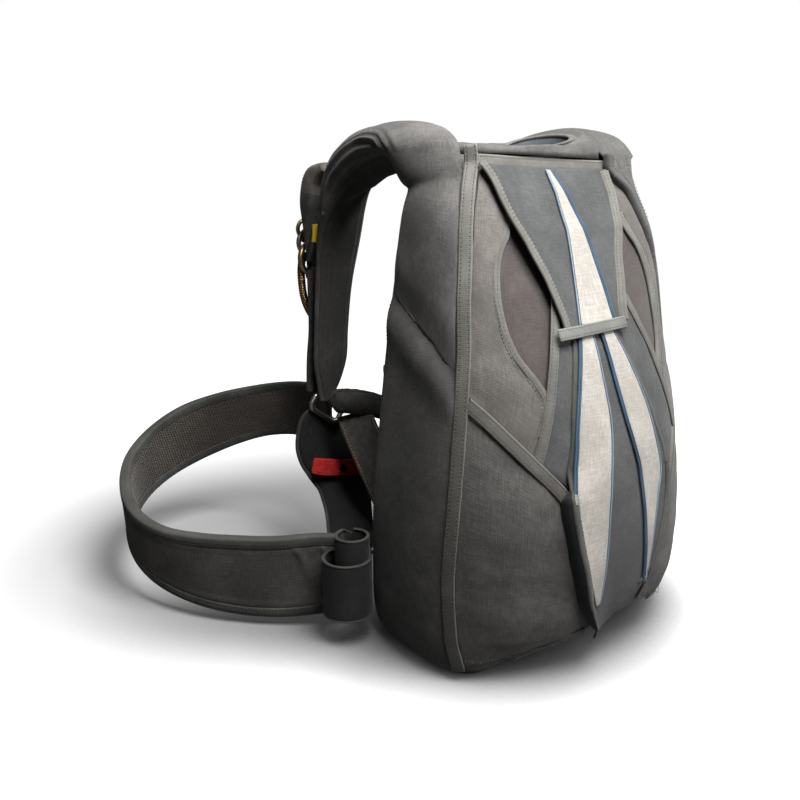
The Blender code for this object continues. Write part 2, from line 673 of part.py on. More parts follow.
def make_straps(cloth, dark):
    band("shoulder_strap_left", STRAP_ROWS, 22, cloth, pad_section)
    fuller_rows = list(STRAP_ROWS)
    for i, (y, z, width) in enumerate(FULLER_ROWS):
        row = list(STRAP_ROWS[i])
        row[1] += y
        row[2] += z
        row[BAND_COLUMNS.index("width")] += width
        fuller_rows[i] = tuple(row)
    right_only(band("shoulder_strap", fuller_rows, 22, cloth, pad_section))
    both_sides(band("riser", RISER_ROWS, 9, dark, pad_section))
    both_sides(band("lift_web", LIFT_WEB_ROWS, 5, dark))


def make_hips(dark, red):
    both_sides(band("hip_roll", HIP_ROLL_ROWS, 12, dark, pad_section))
    both_sides(band("lateral_band", LATERAL_ROWS, 8, dark))
    both_sides(band("hip_pad", HIP_PAD_ROWS, 9, dark, pad_section))
    band("red_tab_left", RED_TAB_ROWS, 5, red)


def make_fittings(metal, bronze):
    for name, middle, radius, wire in RELEASE_RINGS:
        both_sides(ring(name, middle, radius, wire, (math.radians(84), 0, 0), metal))
    both_sides(tube("cable_housing", HOUSING_ROUTE, HOUSING_RADIUS, 12, bronze))
    half_long, half_short = (size / 2 for size in ADAPTER_SIZE)
    frame = []
    for a, b in ((-1, -0.5), (-0.8, -1), (0.8, -1), (1, -0.5), (1, 0.5), (0.8, 1), (-0.8, 1), (-1, 0.5)):
        turned = Matrix.Rotation(-ADAPTER_SLOPE, 3, "Y") @ Vector((a * half_long, 0, b * half_short))
        frame.append(Vector(ADAPTER_MIDDLE) + turned)
    both_sides(wire_frame("strap_adapter", frame, ADAPTER_WIRE, metal))


def wound(share, ends):
    """A value that goes from the outer turn's to the inner turn's half way along."""
    blend = max(0.0, min(1.0, (share - 0.42) / 0.16))
    return ends[0] + (ends[1] - ends[0]) * blend


def make_leg_rolls(cloth):
    steps = 30
    rings = []
    for i in range(steps + 1):
        share = i / steps
        angle = math.radians(100) + 2 * math.pi * ROLL_TURNS * share
        radius = ROLL_RADIUS[0] + (ROLL_RADIUS[1] - ROLL_RADIUS[0]) * share
        away = Vector((math.cos(angle), math.sin(angle), 0))
        low, high = wound(share, ROLL_LOW), wound(share, ROLL_HIGH)
        middle = Vector((*ROLL_MIDDLE, (low + high) / 2)) + away * radius
        rings.append(web_section(middle, Vector((0, 0, 1)), away, high - low, ROLL_CLOTH))
    both_sides(loft("leg_roll", rings, cloth))


def make_leg_pads(cloth):
    rings = []
    count = len(LEG_ROWS) + 3
    for i in range(count + 1):
        share = i / count
        x, y, low, high, thick, lean = along(LEG_ROWS, share)
        ahead = along(LEG_ROWS, min(1, share + 0.01))
        behind = along(LEG_ROWS, max(0, share - 0.01))
        forward = Vector((ahead[0] - behind[0], ahead[1] - behind[1], 0)).normalized()
        outward = forward.cross(Vector((0, 0, -1)))
        upright = (Vector((0, 0, high - low)) + outward * lean).normalized()
        middle = Vector((x, y, (low + high) / 2))
        rings.append(pad_section(middle, upright, outward, high - low, thick))
    both_sides(loft("leg_pad", rings, cloth))


def make_scene():
    charcoal = finish("charcoal_cloth", (0.060, 0.057, 0.052), 0.90)
    dark = finish("dark_cloth", (0.018, 0.017, 0.016), 0.90)
    binding = finish("binding_tape", (0.105, 0.104, 0.090), 0.85)
    pale = finish("pale_cloth", (0.46, 0.42, 0.36), 0.85)
    blue = finish("blue_piping", (0.030, 0.095, 0.220), 0.60)
    make_pack(charcoal)
    make_back_panel(dark)
    make_side_panels(charcoal)
    make_rear_panels(charcoal)
    make_flaps(charcoal, dark)
    make_inlays(pale, blue)
    make_tapes(binding)
    make_collar(charcoal)
    make_straps(charcoal, dark)
    make_hips(dark, finish("red_webbing", (0.70, 0.020, 0.020), 0.70))
    metal = finish("steel", (0.60, 0.58, 0.53), 0.25, 1.0)
    make_fittings(metal, finish("bronze_housing", (0.30, 0.18, 0.10), 0.40, 0.8))
    make_leg_pads(charcoal)
    make_leg_rolls(dark)


for old in list(bpy.data.objects):
    bpy.data.objects.remove(old)
PARTS = bpy.data.collections.new("packed_parachute")
bpy.context.scene.collection.children.link(PARTS)
make_scene()
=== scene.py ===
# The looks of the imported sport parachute: its cloth, tapes, webbing, stitching and fittings.
# Metres, +Z up. The wearer faces +Y and -X is the wearer's left, as in the frame.
import functools
import math

import bmesh
import bpy
from mathutils import Matrix, Vector, noise


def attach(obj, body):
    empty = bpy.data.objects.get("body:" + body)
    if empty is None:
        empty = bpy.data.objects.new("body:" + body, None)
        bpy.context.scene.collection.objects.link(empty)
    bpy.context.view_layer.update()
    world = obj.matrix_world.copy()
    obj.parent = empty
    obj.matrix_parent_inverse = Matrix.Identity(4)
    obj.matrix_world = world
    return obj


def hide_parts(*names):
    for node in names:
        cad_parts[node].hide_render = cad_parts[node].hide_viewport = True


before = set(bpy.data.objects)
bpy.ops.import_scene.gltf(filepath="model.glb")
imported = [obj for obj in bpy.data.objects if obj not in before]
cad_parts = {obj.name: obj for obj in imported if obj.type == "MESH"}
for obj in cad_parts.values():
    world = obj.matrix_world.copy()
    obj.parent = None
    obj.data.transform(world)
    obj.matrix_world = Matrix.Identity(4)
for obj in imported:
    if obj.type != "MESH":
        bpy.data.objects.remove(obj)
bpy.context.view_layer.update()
scene = bpy.context.scene
print("frame loaded:", len(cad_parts), "nodes")


# shader wiring
class Wire:  # one output socket; arithmetic on it adds Math nodes
    def __init__(self, paint, socket):
        self.paint = paint
        self.socket = socket

    def maths(self, operation, *values):
        numbered = dict(enumerate(values))
        return self.paint.add("ShaderNodeMath", {"operation": operation}, numbered)

    def __add__(self, other):
        return self.maths("ADD", self, other)

    def __radd__(self, other):
        return self.maths("ADD", other, self)

    def __sub__(self, other):
        return self.maths("SUBTRACT", self, other)

    def __rsub__(self, other):
        return self.maths("SUBTRACT", other, self)

    def __mul__(self, other):
        return self.maths("MULTIPLY", self, other)

    def __rmul__(self, other):
        return self.maths("MULTIPLY", other, self)

    def __gt__(self, other):
        return self.maths("GREATER_THAN", self, other)

    def __abs__(self):
        return self.maths("ABSOLUTE", self)

    def sine(self):
        return self.maths("SINE", self)

    def limited(self, low, high):  # 0 at low and below, 1 at high and above
        settings = {"interpolation_type": "SMOOTHSTEP"}
        return self.paint.add("ShaderNodeMapRange", settings, {0: self, 1: low, 2: high, 3: 0.0, 4: 1.0})


class Paint:  # one material and the nodes that are added to it
    def __init__(self, name, metallic=0.0, sheen=0.0, sheenRoughness=0.5, coat=0.0):
        self.material = bpy.data.materials.new(name)
        self.material.use_nodes = True
        self.tree = self.material.node_tree
        self.shader = self.tree.nodes["Principled BSDF"]
        self.shader.inputs["Metallic"].default_value = metallic
        self.shader.inputs["Sheen Weight"].default_value = sheen
        self.shader.inputs["Sheen Roughness"].default_value = sheenRoughness
        self.shader.inputs["Coat Weight"].default_value = coat

    def feed(self, socket, value):
        if isinstance(value, Wire):
            self.tree.links.new(value.socket, socket)
        else:
            socket.default_value = value

    def add(self, kind, settings=None, values=None, out=0):
        node = self.tree.nodes.new(kind)
        for key, value in (settings or {}).items():
            setattr(node, key, value)
        for key, value in (values or {}).items():
            self.feed(node.inputs[key], value)
        return Wire(self, node.outputs[out])

    def mix(self, factor, first, second, blend="MIX"):
        settings = {"data_type": "RGBA", "blend_type": blend}
        return self.add("ShaderNodeMix", settings, {0: factor, 6: first, 7: second}, out=2)

    def noise(self, size, detail=3.0, rough=0.55):  # 0 to 1, with features of this size in metres
        where = self.add("ShaderNodeTexCoord", out="Object")
        values = {"Vector": where, "Scale": 1.0 / size, "Detail": detail, "Roughness": rough}
        return self.add("ShaderNodeTexNoise", {}, values)

    def clothPlace(self):  # metres across and along the cloth, from the piece's own map
        where = self.add("ShaderNodeUVMap", {"uv_map": "cloth"})
        split = self.tree.nodes.new("ShaderNodeSeparateXYZ")
        self.feed(split.inputs[0], where)
        return Wire(self, split.outputs[0]), Wire(self, split.outputs[1])

    def done(self, colour, roughness, height, strength=0.5, depth=0.0006):
        bump = self.add("ShaderNodeBump", {}, {"Strength": strength, "Distance": depth, "Height": height})
        self.feed(self.shader.inputs["Base Color"], colour)
        self.feed(self.shader.inputs["Roughness"], roughness)
        self.feed(self.shader.inputs["Normal"], bump)
        return self.material


def rgb(red, green, blue):
    return (red, green, blue, 1.0)


# cloths
clothLooks = {
    "thread": 0.00125,  # pitch of the weave
    "fadeSize": 0.055,  # patches where the cloth has faded
    "mottleSize": 0.006,
    "fluffSize": 0.0024,
    "slubThin": 0.0016,
    "slubLong": 0.014,
    "tapeCord": 0.0011,  # pitch of the cords along a tape
    "selvedge": (0.0022, 0.0006),  # where its paler edge starts and is full, in from the side
    "webbingCord": 0.0034,
}


def weave(paint, pitch):
    # height of a plain weave, where each thread goes over and under in turn
    across, along = paint.clothPlace()
    warp = (across * (math.pi / pitch)).sine()
    weft = (along * (math.pi / pitch)).sine()
    over = (warp * weft) > 0.0
    return over * abs(warp) + (1.0 - over) * abs(weft)


def slubs(paint, thin, long):
    # uneven threads, drawn out along the cloth and across it
    where = paint.add("ShaderNodeUVMap", {"uv_map": "cloth"})
    made = []
    for stretch in ((1 / thin, 1 / long, 1.0), (1 / long, 1 / thin, 1.0)):
        place = paint.add("ShaderNodeVectorMath", {"operation": "MULTIPLY"}, {0: where, 1: stretch})
        values = {"Vector": place, "Scale": 1.0, "Detail": 2.0, "Roughness": 0.6}
        made.append(paint.add("ShaderNodeTexNoise", {}, values))
    return (made[0] + made[1]) * 0.5


def grained(paint, tone, grain):
    grey = paint.add("ShaderNodeCombineColor", {}, {0: grain, 1: grain, 2: grain})
    return paint.mix(1.0, tone, grey, "MULTIPLY")


# painted light and shade: the colour is made paler towards the top and darker below, standing in for light
# falling from above
def paintedLightByHeight(paint, paintedLightShare):  # paler towards the top by up to this share, and darker below
    if not paintedLightShare:
        return 1.0
    split = paint.tree.nodes.new("ShaderNodeSeparateXYZ")
    paint.feed(split.inputs[0], paint.add("ShaderNodeTexCoord", out="Object"))
    height = Wire(paint, split.outputs[2])
    return 1.0 - paintedLightShare + height.limited(0.02, 0.46) * (2.0 * paintedLightShare)


def wovenCloth(name, colour, faded, thread=None, sheen=0.12, lint=0.35, strength=0.35, paintedLightShare=0.0):
    paint = Paint(name, sheen=sheen, sheenRoughness=0.45)
    threads = weave(paint, thread or clothLooks["thread"])
    slub = slubs(paint, clothLooks["slubThin"], clothLooks["slubLong"])
    fade = paint.noise(clothLooks["fadeSize"], 4.0).limited(0.38, 0.68)
    mottle = paint.noise(clothLooks["mottleSize"], 3.0)
    fluff = paint.noise(clothLooks["fluffSize"], 2.0)
    tone = paint.mix(fade * 0.70 + (mottle - 0.5) * 0.8 + (slub - 0.5) * 2.2, colour, faded)
    tone = grained(paint, tone, (0.60 + threads * 0.10 + slub * 0.50 + fluff * 0.16) * paintedLightByHeight(paint, paintedLightShare))
    speck = fluff.limited(0.74, 0.80) * lint  # lint and dust
    tone = paint.mix(speck, tone, rgb(0.30, 0.28, 0.25))
    rough = 0.80 + mottle * 0.14
    return paint.done(tone, rough, threads * 0.5 + slub * 1.6 + mottle * 0.4, strength)


def ribbedTape(name, colour, faded, rib=0.0016, width=0.014, paintedLightShare=0.0):
    # grosgrain: ribs across the tape, a paler selvedge and fuzz
    paint = Paint(name, sheen=0.15)
    across, along = paint.clothPlace()
    ribs = 0.5 + 0.5 * (along * (2 * math.pi / rib)).sine()
    cords = 0.5 + 0.5 * (across * (2 * math.pi / clothLooks["tapeCord"])).sine()
    starts, full = clothLooks["selvedge"]
    edge = abs(across).limited(width / 2 - starts, width / 2 - full)
    mottle = paint.noise(0.005, 3.0)
    fade = paint.noise(0.045, 3.0).limited(0.35, 0.7)
    tone = paint.mix(fade * 0.6 + (mottle - 0.5) * 0.8 + edge * 0.45, colour, faded)
    grain = (0.84 + ribs * 0.08 + cords * 0.08) * paintedLightByHeight(paint, paintedLightShare)
    tone = grained(paint, tone, grain)
    return paint.done(tone, 0.78 + mottle * 0.16, ribs * 0.6 + cords * 0.4 + mottle * 0.4, 0.35, 0.0004)


def spacerMesh(name, colour, deep, cell=0.0034):
    # rows of holes, each row set off by half a hole from the last
    paint = Paint(name, sheen=0.3)
    across, along = paint.clothPlace()
    row = along * (1.0 / (cell * 0.86))
    number = row.maths("FLOOR", row)
    shift = number.maths("MODULO", number, 2.0) * 0.5
    column = across * (1.0 / cell) + shift
    dx = column.maths("FRACT", column) - 0.5
    dy = row.maths("FRACT", row) - 0.5
    square = dx * dx + dy * dy
    away = square.maths("SQRT", square)
    hole = 1.0 - away.limited(0.20, 0.40)
    mottle = paint.noise(0.008, 3.0)
    fade = paint.noise(0.07, 3.0).limited(0.35, 0.7)
    tone = paint.mix(fade * 0.6 + mottle * 0.3, colour, rgb(0.115, 0.090, 0.068))
    # painted shade: the holes are mixed towards near black, for the darker layer beneath and the shade inside
    # them
    tone = paint.mix(hole * 0.85, tone, deep)
    return paint.done(tone, 0.75 + mottle * 0.2, 1.0 - hole, 0.9, 0.0012)


def webbing(name, colour, faded, rib=0.0022, shine=0.62):
    # heavy harness webbing: fine ribs and long selvedge cords
    paint = Paint(name, sheen=0.2)
    across, along = paint.clothPlace()
    ribs = abs((along * (math.pi / rib)).sine())
    cords = abs((across * (math.pi / clothLooks["webbingCord"])).sine())
    mottle = paint.noise(0.007, 3.0)
    tone = paint.mix(mottle.limited(0.35, 0.75), colour, faded)
    grain = 0.70 + ribs * 0.2 + cords * 0.18
    tone = grained(paint, tone, grain)
    return paint.done(tone, shine + mottle * 0.25, ribs * 0.7 + cords + mottle * 0.3, 0.6, 0.0006)


def plainThread(name, colour, faded):
    paint = Paint(name, sheen=0.1)
    mottle = paint.noise(0.003, 2.0)
    fade = paint.noise(0.03, 2.0).limited(0.3, 0.7)
    tone = paint.mix(fade * 0.7 + mottle * 0.3, colour, faded)
    return paint.done(tone, 0.55 + mottle * 0.3, paint.noise(0.0006, 1.0), 0.4, 0.0002)


def platedMetal(name, colour, worn, roughness=0.24):
    paint = Paint(name, metallic=1.0)
    scuff = paint.noise(0.0035, 5.0, 0.65)
    smear = paint.noise(0.014, 3.0)
    tone = paint.mix(scuff.limited(0.48, 0.66), colour, worn)
    rough = roughness + smear * 0.22 + scuff.limited(0.55, 0.7) * 0.15
    return paint.done(tone, rough, scuff, 0.15, 0.0003)


def moulded(name, colour, worn, roughness=0.4):
    paint = Paint(name, coat=0.15)
    grain = paint.noise(0.0012, 3.0)
    scuff = paint.noise(0.012, 4.0).limited(0.52, 0.72)
    tone = paint.mix(scuff * 0.6, colour, worn)
    return paint.done(tone, roughness + grain * 0.2, grain, 0.25, 0.0003)


looks = {
    "pack": wovenCloth("packNylon", rgb(0.066, 0.062, 0.058), rgb(0.125, 0.118, 0.110)),
    # painted light and shade: the side cloth is paler towards the top and darker below
    "side": wovenCloth("sideNylon", rgb(0.060, 0.057, 0.054), rgb(0.107, 0.102, 0.096), paintedLightShare=0.24),
    "flap": wovenCloth("flapNylon", rgb(0.046, 0.047, 0.047), rgb(0.079, 0.080, 0.080)),
    "reserve": wovenCloth("reserveNylon", rgb(0.098, 0.089, 0.080), rgb(0.160, 0.147, 0.134)),
    "taupe": wovenCloth("taupeLining", rgb(0.050, 0.040, 0.037), rgb(0.080, 0.067, 0.062)),
    "black": wovenCloth("harnessNylon", rgb(0.010, 0.0098, 0.0095), rgb(0.023, 0.022, 0.021), sheen=0.10),
    "leg": wovenCloth("legPadNylon", rgb(0.053, 0.050, 0.046), rgb(0.098, 0.092, 0.084), lint=0.55),
    "pale": wovenCloth(
        "paleInlay", rgb(0.34, 0.315, 0.28), rgb(0.47, 0.44, 0.40), thread=0.0016, lint=0.0, strength=0.5
    ),
    # painted light and shade: the binding tape is paler towards the top and darker below
    "binding": ribbedTape("bindingTape", rgb(0.086, 0.083, 0.072), rgb(0.156, 0.151, 0.133), paintedLightShare=0.30),
    "darkBinding": ribbedTape("darkBinding", rgb(0.040, 0.040, 0.035), rgb(0.105, 0.102, 0.090), width=0.011),
    "paleBand": ribbedTape("paleKeeper", rgb(0.125, 0.125, 0.115), rgb(0.21, 0.21, 0.195), width=0.0125),
    # painted shade: near-black cloth for the fin's wall, standing in for the shade on that side of the
    # turned-up edge
    "shade": wovenCloth("finWallPaintedShade", rgb(0.008, 0.010, 0.011), rgb(0.017, 0.020, 0.021), sheen=0.05),
    # the hip roll's cloth, also used as painted shade on the shoulder straps' undersides
    "hipClothAndStrapShade": wovenCloth("hipRollNylonAndStrapShade", rgb(0.040, 0.038, 0.035), rgb(0.080, 0.076, 0.070), sheen=0.15),
    "mesh": spacerMesh("spacerMesh", rgb(0.044, 0.034, 0.027), rgb(0.008, 0.006, 0.005)),
    "webbing": webbing("harnessWebbing", rgb(0.018, 0.018, 0.018), rgb(0.045, 0.043, 0.040)),
    "hipWebbing": webbing("hipWebbing", rgb(0.040, 0.037, 0.032), rgb(0.090, 0.083, 0.072)),
    "redWebbing": webbing("redWebbing", rgb(0.80, 0.014, 0.016), rgb(0.95, 0.045, 0.040), 0.0018, 0.5),
    "ribbing": webbing("brownRibbing", rgb(0.060, 0.050, 0.040), rgb(0.110, 0.095, 0.075), rib=0.0030),
    "lining": wovenCloth("neckLining", rgb(0.040, 0.052, 0.060), rgb(0.060, 0.074, 0.082)),
    "blue": plainThread("bluePiping", rgb(0.013, 0.037, 0.072), rgb(0.032, 0.082, 0.140)),
    "paleBlue": plainThread("paleBlueEdge", rgb(0.10, 0.17, 0.25), rgb(0.20, 0.28, 0.36)),
    "thread": plainThread("greyThread", rgb(0.24, 0.235, 0.215), rgb(0.40, 0.39, 0.36)),
    "darkThread": plainThread("darkThread", rgb(0.035, 0.034, 0.030), rgb(0.085, 0.082, 0.075)),
    "orangeThread": plainThread("orangeThread", rgb(0.50, 0.22, 0.045), rgb(0.75, 0.42, 0.13)),
    "steel": platedMetal("ringSteel", rgb(0.62, 0.60, 0.55), rgb(0.45, 0.42, 0.36)),
    "gold": platedMetal("goldRing", rgb(0.70, 0.50, 0.24), rgb(0.48, 0.36, 0.20)),
    "bronze": platedMetal("bronzeHousing", rgb(0.44, 0.25, 0.13), rgb(0.20, 0.11, 0.07), 0.34),
    "plastic": moulded("blackPlastic", rgb(0.012, 0.012, 0.013), rgb(0.035, 0.034, 0.033)),
    "yellow": moulded("yellowCable", rgb(0.75, 0.50, 0.015), rgb(0.80, 0.66, 0.20)),
    "bone": moulded("paleToggle", rgb(0.62, 0.60, 0.54), rgb(0.42, 0.40, 0.36)),
}
print("materials made:", len(looks))


# the pack's skin, as in the frame
# rows of: height, y of the rear crown, x and y of the seam tape, x and y of the side,
# x and y of the back corner, y of the back
packRows = (
    (0.000, -0.072, 0.144, -0.064, 0.150, 0.004, 0.128, 0.068, 0.074),
    (0.014, -0.098, 0.156, -0.066, 0.165, 0.004, 0.138, 0.072, 0.077),
    (0.045, -0.128, 0.163, -0.063, 0.171, 0.006, 0.142, 0.072, 0.077),
    (0.105, -0.138, 0.166, -0.061, 0.173, 0.006, 0.143, 0.070, 0.075),
    (0.170, -0.133, 0.163, -0.063, 0.170, 0.006, 0.142, 0.067, 0.071),
    (0.235, -0.120, 0.156, -0.061, 0.164, 0.006, 0.139, 0.063, 0.066),
    (0.300, -0.097, 0.148, -0.056, 0.157, 0.004, 0.135, 0.059, 0.061),
    (0.360, -0.070, 0.140, -0.049, 0.150, 0.004, 0.129, 0.055, 0.057),
    (0.415, -0.047, 0.128, -0.040, 0.143, 0.006, 0.121, 0.052, 0.054),
    (0.450, -0.030, 0.114, -0.029, 0.135, 0.010, 0.112, 0.050, 0.053),
    (0.478, -0.014, 0.099, -0.018, 0.118, 0.014, 0.098, 0.048, 0.051),
)
# where the rear curve passes between crown and seam: shares of the way out and of the way forward
packShape = {"rearMid": 0.55, "rearFall": 0.17}
# thickness of each layer, then how far above the skin the layers lie
layers = {"gap": 0.0009, "cloth": 0.0020, "tape": 0.0014}
layers["onPack"] = layers["gap"]
layers["onPanel"] = layers["onPack"] + layers["cloth"] + layers["gap"]
layers["side"] = layers["onPack"] + 0.0004


def curveValue(values, t):
    last = len(values) - 1
    i = max(0, min(last - 1, int(math.floor(t))))
    f = t - i
    p0, p1 = values[max(0, i - 1)], values[i]
    p2, p3 = values[i + 1], values[min(last, i + 2)]
    square, cube = 2 * p0 - 5 * p1 + 4 * p2 - p3, 3 * p1 - p0 - 3 * p2 + p3
    return 0.5 * (2 * p1 + (p2 - p0) * f + square * f * f + cube * f ** 3)


def along(points, share):
    t = max(0.0, min(1.0, share)) * (len(points) - 1)
    return [curveValue([p[k] for p in points], t) for k in range(len(points[0]))]


@functools.lru_cache(maxsize=None)
def packLevel(z):
    heights = [row[0] for row in packRows]
    z = max(heights[0], min(heights[-1], z))
    i = max(k for k, h in enumerate(heights[:-1]) if h <= z)
    t = i + (z - heights[i]) / (heights[i + 1] - heights[i])
    return [curveValue([row[k] for row in packRows], t) for k in range(9)]


@functools.lru_cache(maxsize=None)
def packLoop(z):
    # x and y of the points round the right half, with one more beyond each end
    _, crownY, tapeX, tapeY, sideX, sideY, cornerX, cornerY, backY = packLevel(z)
    midX, midY = packShape["rearMid"] * tapeX, crownY + packShape["rearFall"] * (tapeY - crownY)
    loopX = (-midX, 0.0, midX, tapeX, sideX, cornerX, 0.0, -cornerX)
    loopY = (midY, crownY, midY, tapeY, sideY, cornerY, backY, cornerY)
    return loopX, loopY


def packPoint(s, z):
    # s goes round: 0 rear crown, 2 seam tape, 3 side, 4 back corner, 5 back; negative on the wearer's left
    s = (s + 5) % 10 - 5
    loopX, loopY = packLoop(round(z, 5))
    t = abs(s) + 1
    return Vector((math.copysign(curveValue(loopX, t), s), curveValue(loopY, t), z))


def packNormal(s, z):
    roundIt = packPoint(s + 0.02, z) - packPoint(s - 0.02, z)
    upIt = packPoint(s, z + 0.004) - packPoint(s, z - 0.004)
    return roundIt.cross(upIt).normalized()


def onPack(s, z, lift):
    return packPoint(s, z) + packNormal(s, z) * lift


def rearShare(x, z):
    low, high = 0.0, 3.0
    loopX = packLoop(round(z, 5))[0]
    for _ in range(18):
        middle = (low + high) / 2
        if curveValue(loopX, middle + 1) < abs(x):
            low = middle
        else:
            high = middle
    return math.copysign(low, x)


def onRear(x, z, lift):
    return onPack(rearShare(x, z), z, lift)


def bell(value, middle, width):
    return math.exp(-(((value - middle) / width) ** 2))


def ramp(value, low, high):
    share = max(0.0, min(1.0, (value - low) / (high - low)))
    return share * share * (3 - 2 * share)


def wrinkle(point, size, amount):
    return noise.noise(Vector(point) / size) * amount


# making pieces
def gridMesh(columns, rows, place, mapSize):
    # a grid whose corners place(u, v) puts, u from left to right and v from the top down
    mesh = bmesh.new()
    layer = mesh.loops.layers.uv.new("cloth")
    bmesh.ops.create_grid(mesh, x_segments=columns, y_segments=rows, size=0.5)
    shares = {vertex: (vertex.co.x + 0.5, 0.5 - vertex.co.y) for vertex in mesh.verts}
    for face in mesh.faces:
        for corner in face.loops:
            u, v = shares[corner.vert]
            corner[layer].uv = ((u - 0.5) * mapSize[0], v * mapSize[1])
    for vertex, (u, v) in shares.items():
        vertex.co = place(u, v)
    return mesh, shares


def makeObject(name, mesh, *materials):
    data = bpy.data.meshes.new(name)
    mesh.to_mesh(data)
    mesh.free()
    for material in materials:
        data.materials.append(looks[material])
    data.shade_smooth()
    obj = bpy.data.objects.new(name, data)
    scene.collection.objects.link(obj)
    return obj


def thicken(obj, thickness, rounded):
    wall = obj.modifiers.new("Wall", "SOLIDIFY")
    wall.thickness = thickness
    wall.offset = 1.0
    wall.use_even_offset = True
    if rounded:
        smooth = obj.modifiers.new("Rounded", "SUBSURF")
        smooth.levels = smooth.render_levels = rounded


def clothSheet(name, place, columns, rows, thickness, mapSize, material, rounded=1):
    mesh, _ = gridMesh(columns, rows, place, mapSize)
    obj = makeObject(name, mesh, material)
    obj["cutArea"] = sum(face.area for face in obj.data.polygons)
    thicken(obj, thickness, rounded)
    return obj


def closeAndTurn(mesh):
    bmesh.ops.remove_doubles(mesh, verts=mesh.verts[:], dist=0.00003)
    bmesh.ops.recalc_face_normals(mesh, faces=mesh.faces[:])


def flatOval(angle, fullness=(0.55, 0.75)):
    c, s = math.cos(angle), math.sin(angle)
    return math.copysign(abs(c) ** fullness[0], c), math.copysign(abs(s) ** fullness[1], s)


def bandFrame(rows, share):
    here = along(rows, share)
    ahead, behind = Vector(along(rows, share + 0.01)[:3]), Vector(along(rows, share - 0.01)[:3])
    forward = (ahead - behind).normalized()
    across = Vector(here[3:6])
    across = (across - forward * across.dot(forward)).normalized()
    return Vector(here[:3]), across, across.cross(forward), here[6:]


def pathLength(rows, steps=60):
    points = [Vector(along(rows, i / steps)[:3]) for i in range(steps + 1)]
    return sum((b - a).length for a, b in zip(points, points[1:]))


def paddedBand(name, rows, around, steps, materials, relief=None, sideOf=None, fullness=(0.55, 0.75)):
    # a closed padded band along rows of: point, direction across, width, thickness and bow of its middle
    length = pathLength(rows)
    last = steps + 2
    endShrink = {0: 0.0, 1: 0.72, last - 1: 0.72, last: 0.0}

    def place(u, v):
        row = round(v * last)
        share = max(0.0, min(1.0, (row - 1) / (steps)))
        middle, across, outward, (width, thick, bow) = bandFrame(rows, share)
        shrink = endShrink.get(row, 1.0)
        a, n = flatOval(2 * math.pi * u, fullness)
        lift = relief(a, n, share) if relief else 0.0
        a, n = a * shrink, n * shrink
        point = middle + across * (a * width / 2) + outward * (n * thick / 2 - bow * a * a)
        return point + outward * (math.copysign(lift, n) if n else 0.0) * shrink

    mesh, shares = gridMesh(around, last, place, (1.0, length))
    layer = mesh.loops.layers.uv["cloth"]
    for face in mesh.faces:
        u = sum(shares[v][0] for v in face.verts) / len(face.verts)
        v = sum(shares[v][1] for v in face.verts) / len(face.verts)
        a, n = flatOval(2 * math.pi * u, fullness)
        face.material_index = sideOf(a, n, v) if sideOf else 0
        for corner in face.loops:
            cornerU, cornerV = shares[corner.vert]
            edgeA, _ = flatOval(2 * math.pi * cornerU, fullness)
            corner[layer].uv = (edgeA * 0.5 * along(rows, cornerV)[6], cornerV * length)
    closeAndTurn(mesh)
    return makeObject(name, mesh, *materials)


def sweep(name, stations, profile, material, closed=False):
    # a tape or cord: profile points (aside, up) carried along stations of (middle, sideways, up)
    last = len(stations) - 1
    lengths = [0.0]
    for before, after in zip(stations, stations[1:]):
        lengths.append(lengths[-1] + (after[0] - before[0]).length)
    around = len(profile)

    def place(u, v):
        middle, sideways, upward = stations[round(v * last)]
        aside, up = profile[round(u * around) % around]
        return middle + sideways * aside + upward * up

    mesh, shares = gridMesh(around, last, place, (1.0, 1.0))
    layer = mesh.loops.layers.uv["cloth"]
    for face in mesh.faces:
        for corner in face.loops:
            u, v = shares[corner.vert]
            corner[layer].uv = (profile[round(u * around) % around][0], lengths[round(v * last)])
    if not closed:
        bmesh.ops.remove_doubles(mesh, verts=mesh.verts[:], dist=0.00003)
        bmesh.ops.holes_fill(mesh, edges=[e for e in mesh.edges if e.is_boundary], sides=0)
    closeAndTurn(mesh)
    return makeObject(name, mesh, material)


def tapeProfile(width, thickness, groove=0.00035, rows=(0.30,)):
    # a flat tape whose top dips where the stitch rows hold it down
    top = []
    for i in range(17):
        share = 1 - 2 * i / 16
        dip = sum(bell(abs(share), 2 * row, 0.09) for row in rows) * groove
        shoulder = thickness * (1 - 0.55 * abs(share) ** 8)
        top.append((share * width / 2, shoulder - dip))
    return top + [(-width / 2, 0.0), (width / 2, 0.0)]


def ovalProfile(width, thickness, points=12, fullness=(0.7, 0.7)):
    made = []
    for i in range(points):
        a, n = flatOval(2 * math.pi * (i + 0.5) / points, fullness)
        made.append((a * width / 2, n * thickness / 2))
    return made


def roundProfile(radius, points=10):
    return [
        (radius * math.cos(2 * math.pi * i / points), radius * math.sin(2 * math.pi * i / points))
        for i in range(points)
    ]


def surfaceStations(route, lift, count):
    # stations of a route of (x, z) over the rear face, its sideways lying in the cloth
    stations = []
    for i in range(count + 1):
        share = i / count
        x, z = along(route, share)
        s = rearShare(x, z)
        upward = packNormal(s, z)
        here = packPoint(s, z) + upward * lift
        ahead, behind = along(route, share + 0.02), along(route, share - 0.02)
        forward = (onRear(*ahead, lift) - onRear(*behind, lift)).normalized()
        sideways = upward.cross(forward).normalized()
        stations.append((here, sideways, upward))
    return stations


def cordStations(points, count):
    # stations of a cord in the open, its frame carried along without twist
    places = [Vector(along(points, i / count)) for i in range(count + 1)]
    stations = []
    upward = Vector((0.123, 0.456, 0.877))
    for i, here in enumerate(places):
        forward = (places[min(count, i + 1)] - places[max(0, i - 1)]).normalized()
        sideways = upward.cross(forward).normalized()
        upward = forward.cross(sideways).normalized()
        stations.append((here, sideways, upward))
    return stations


stitchLooks = {"pitch": 0.0037, "length": 0.0026, "width": 0.00085, "height": 0.00055}


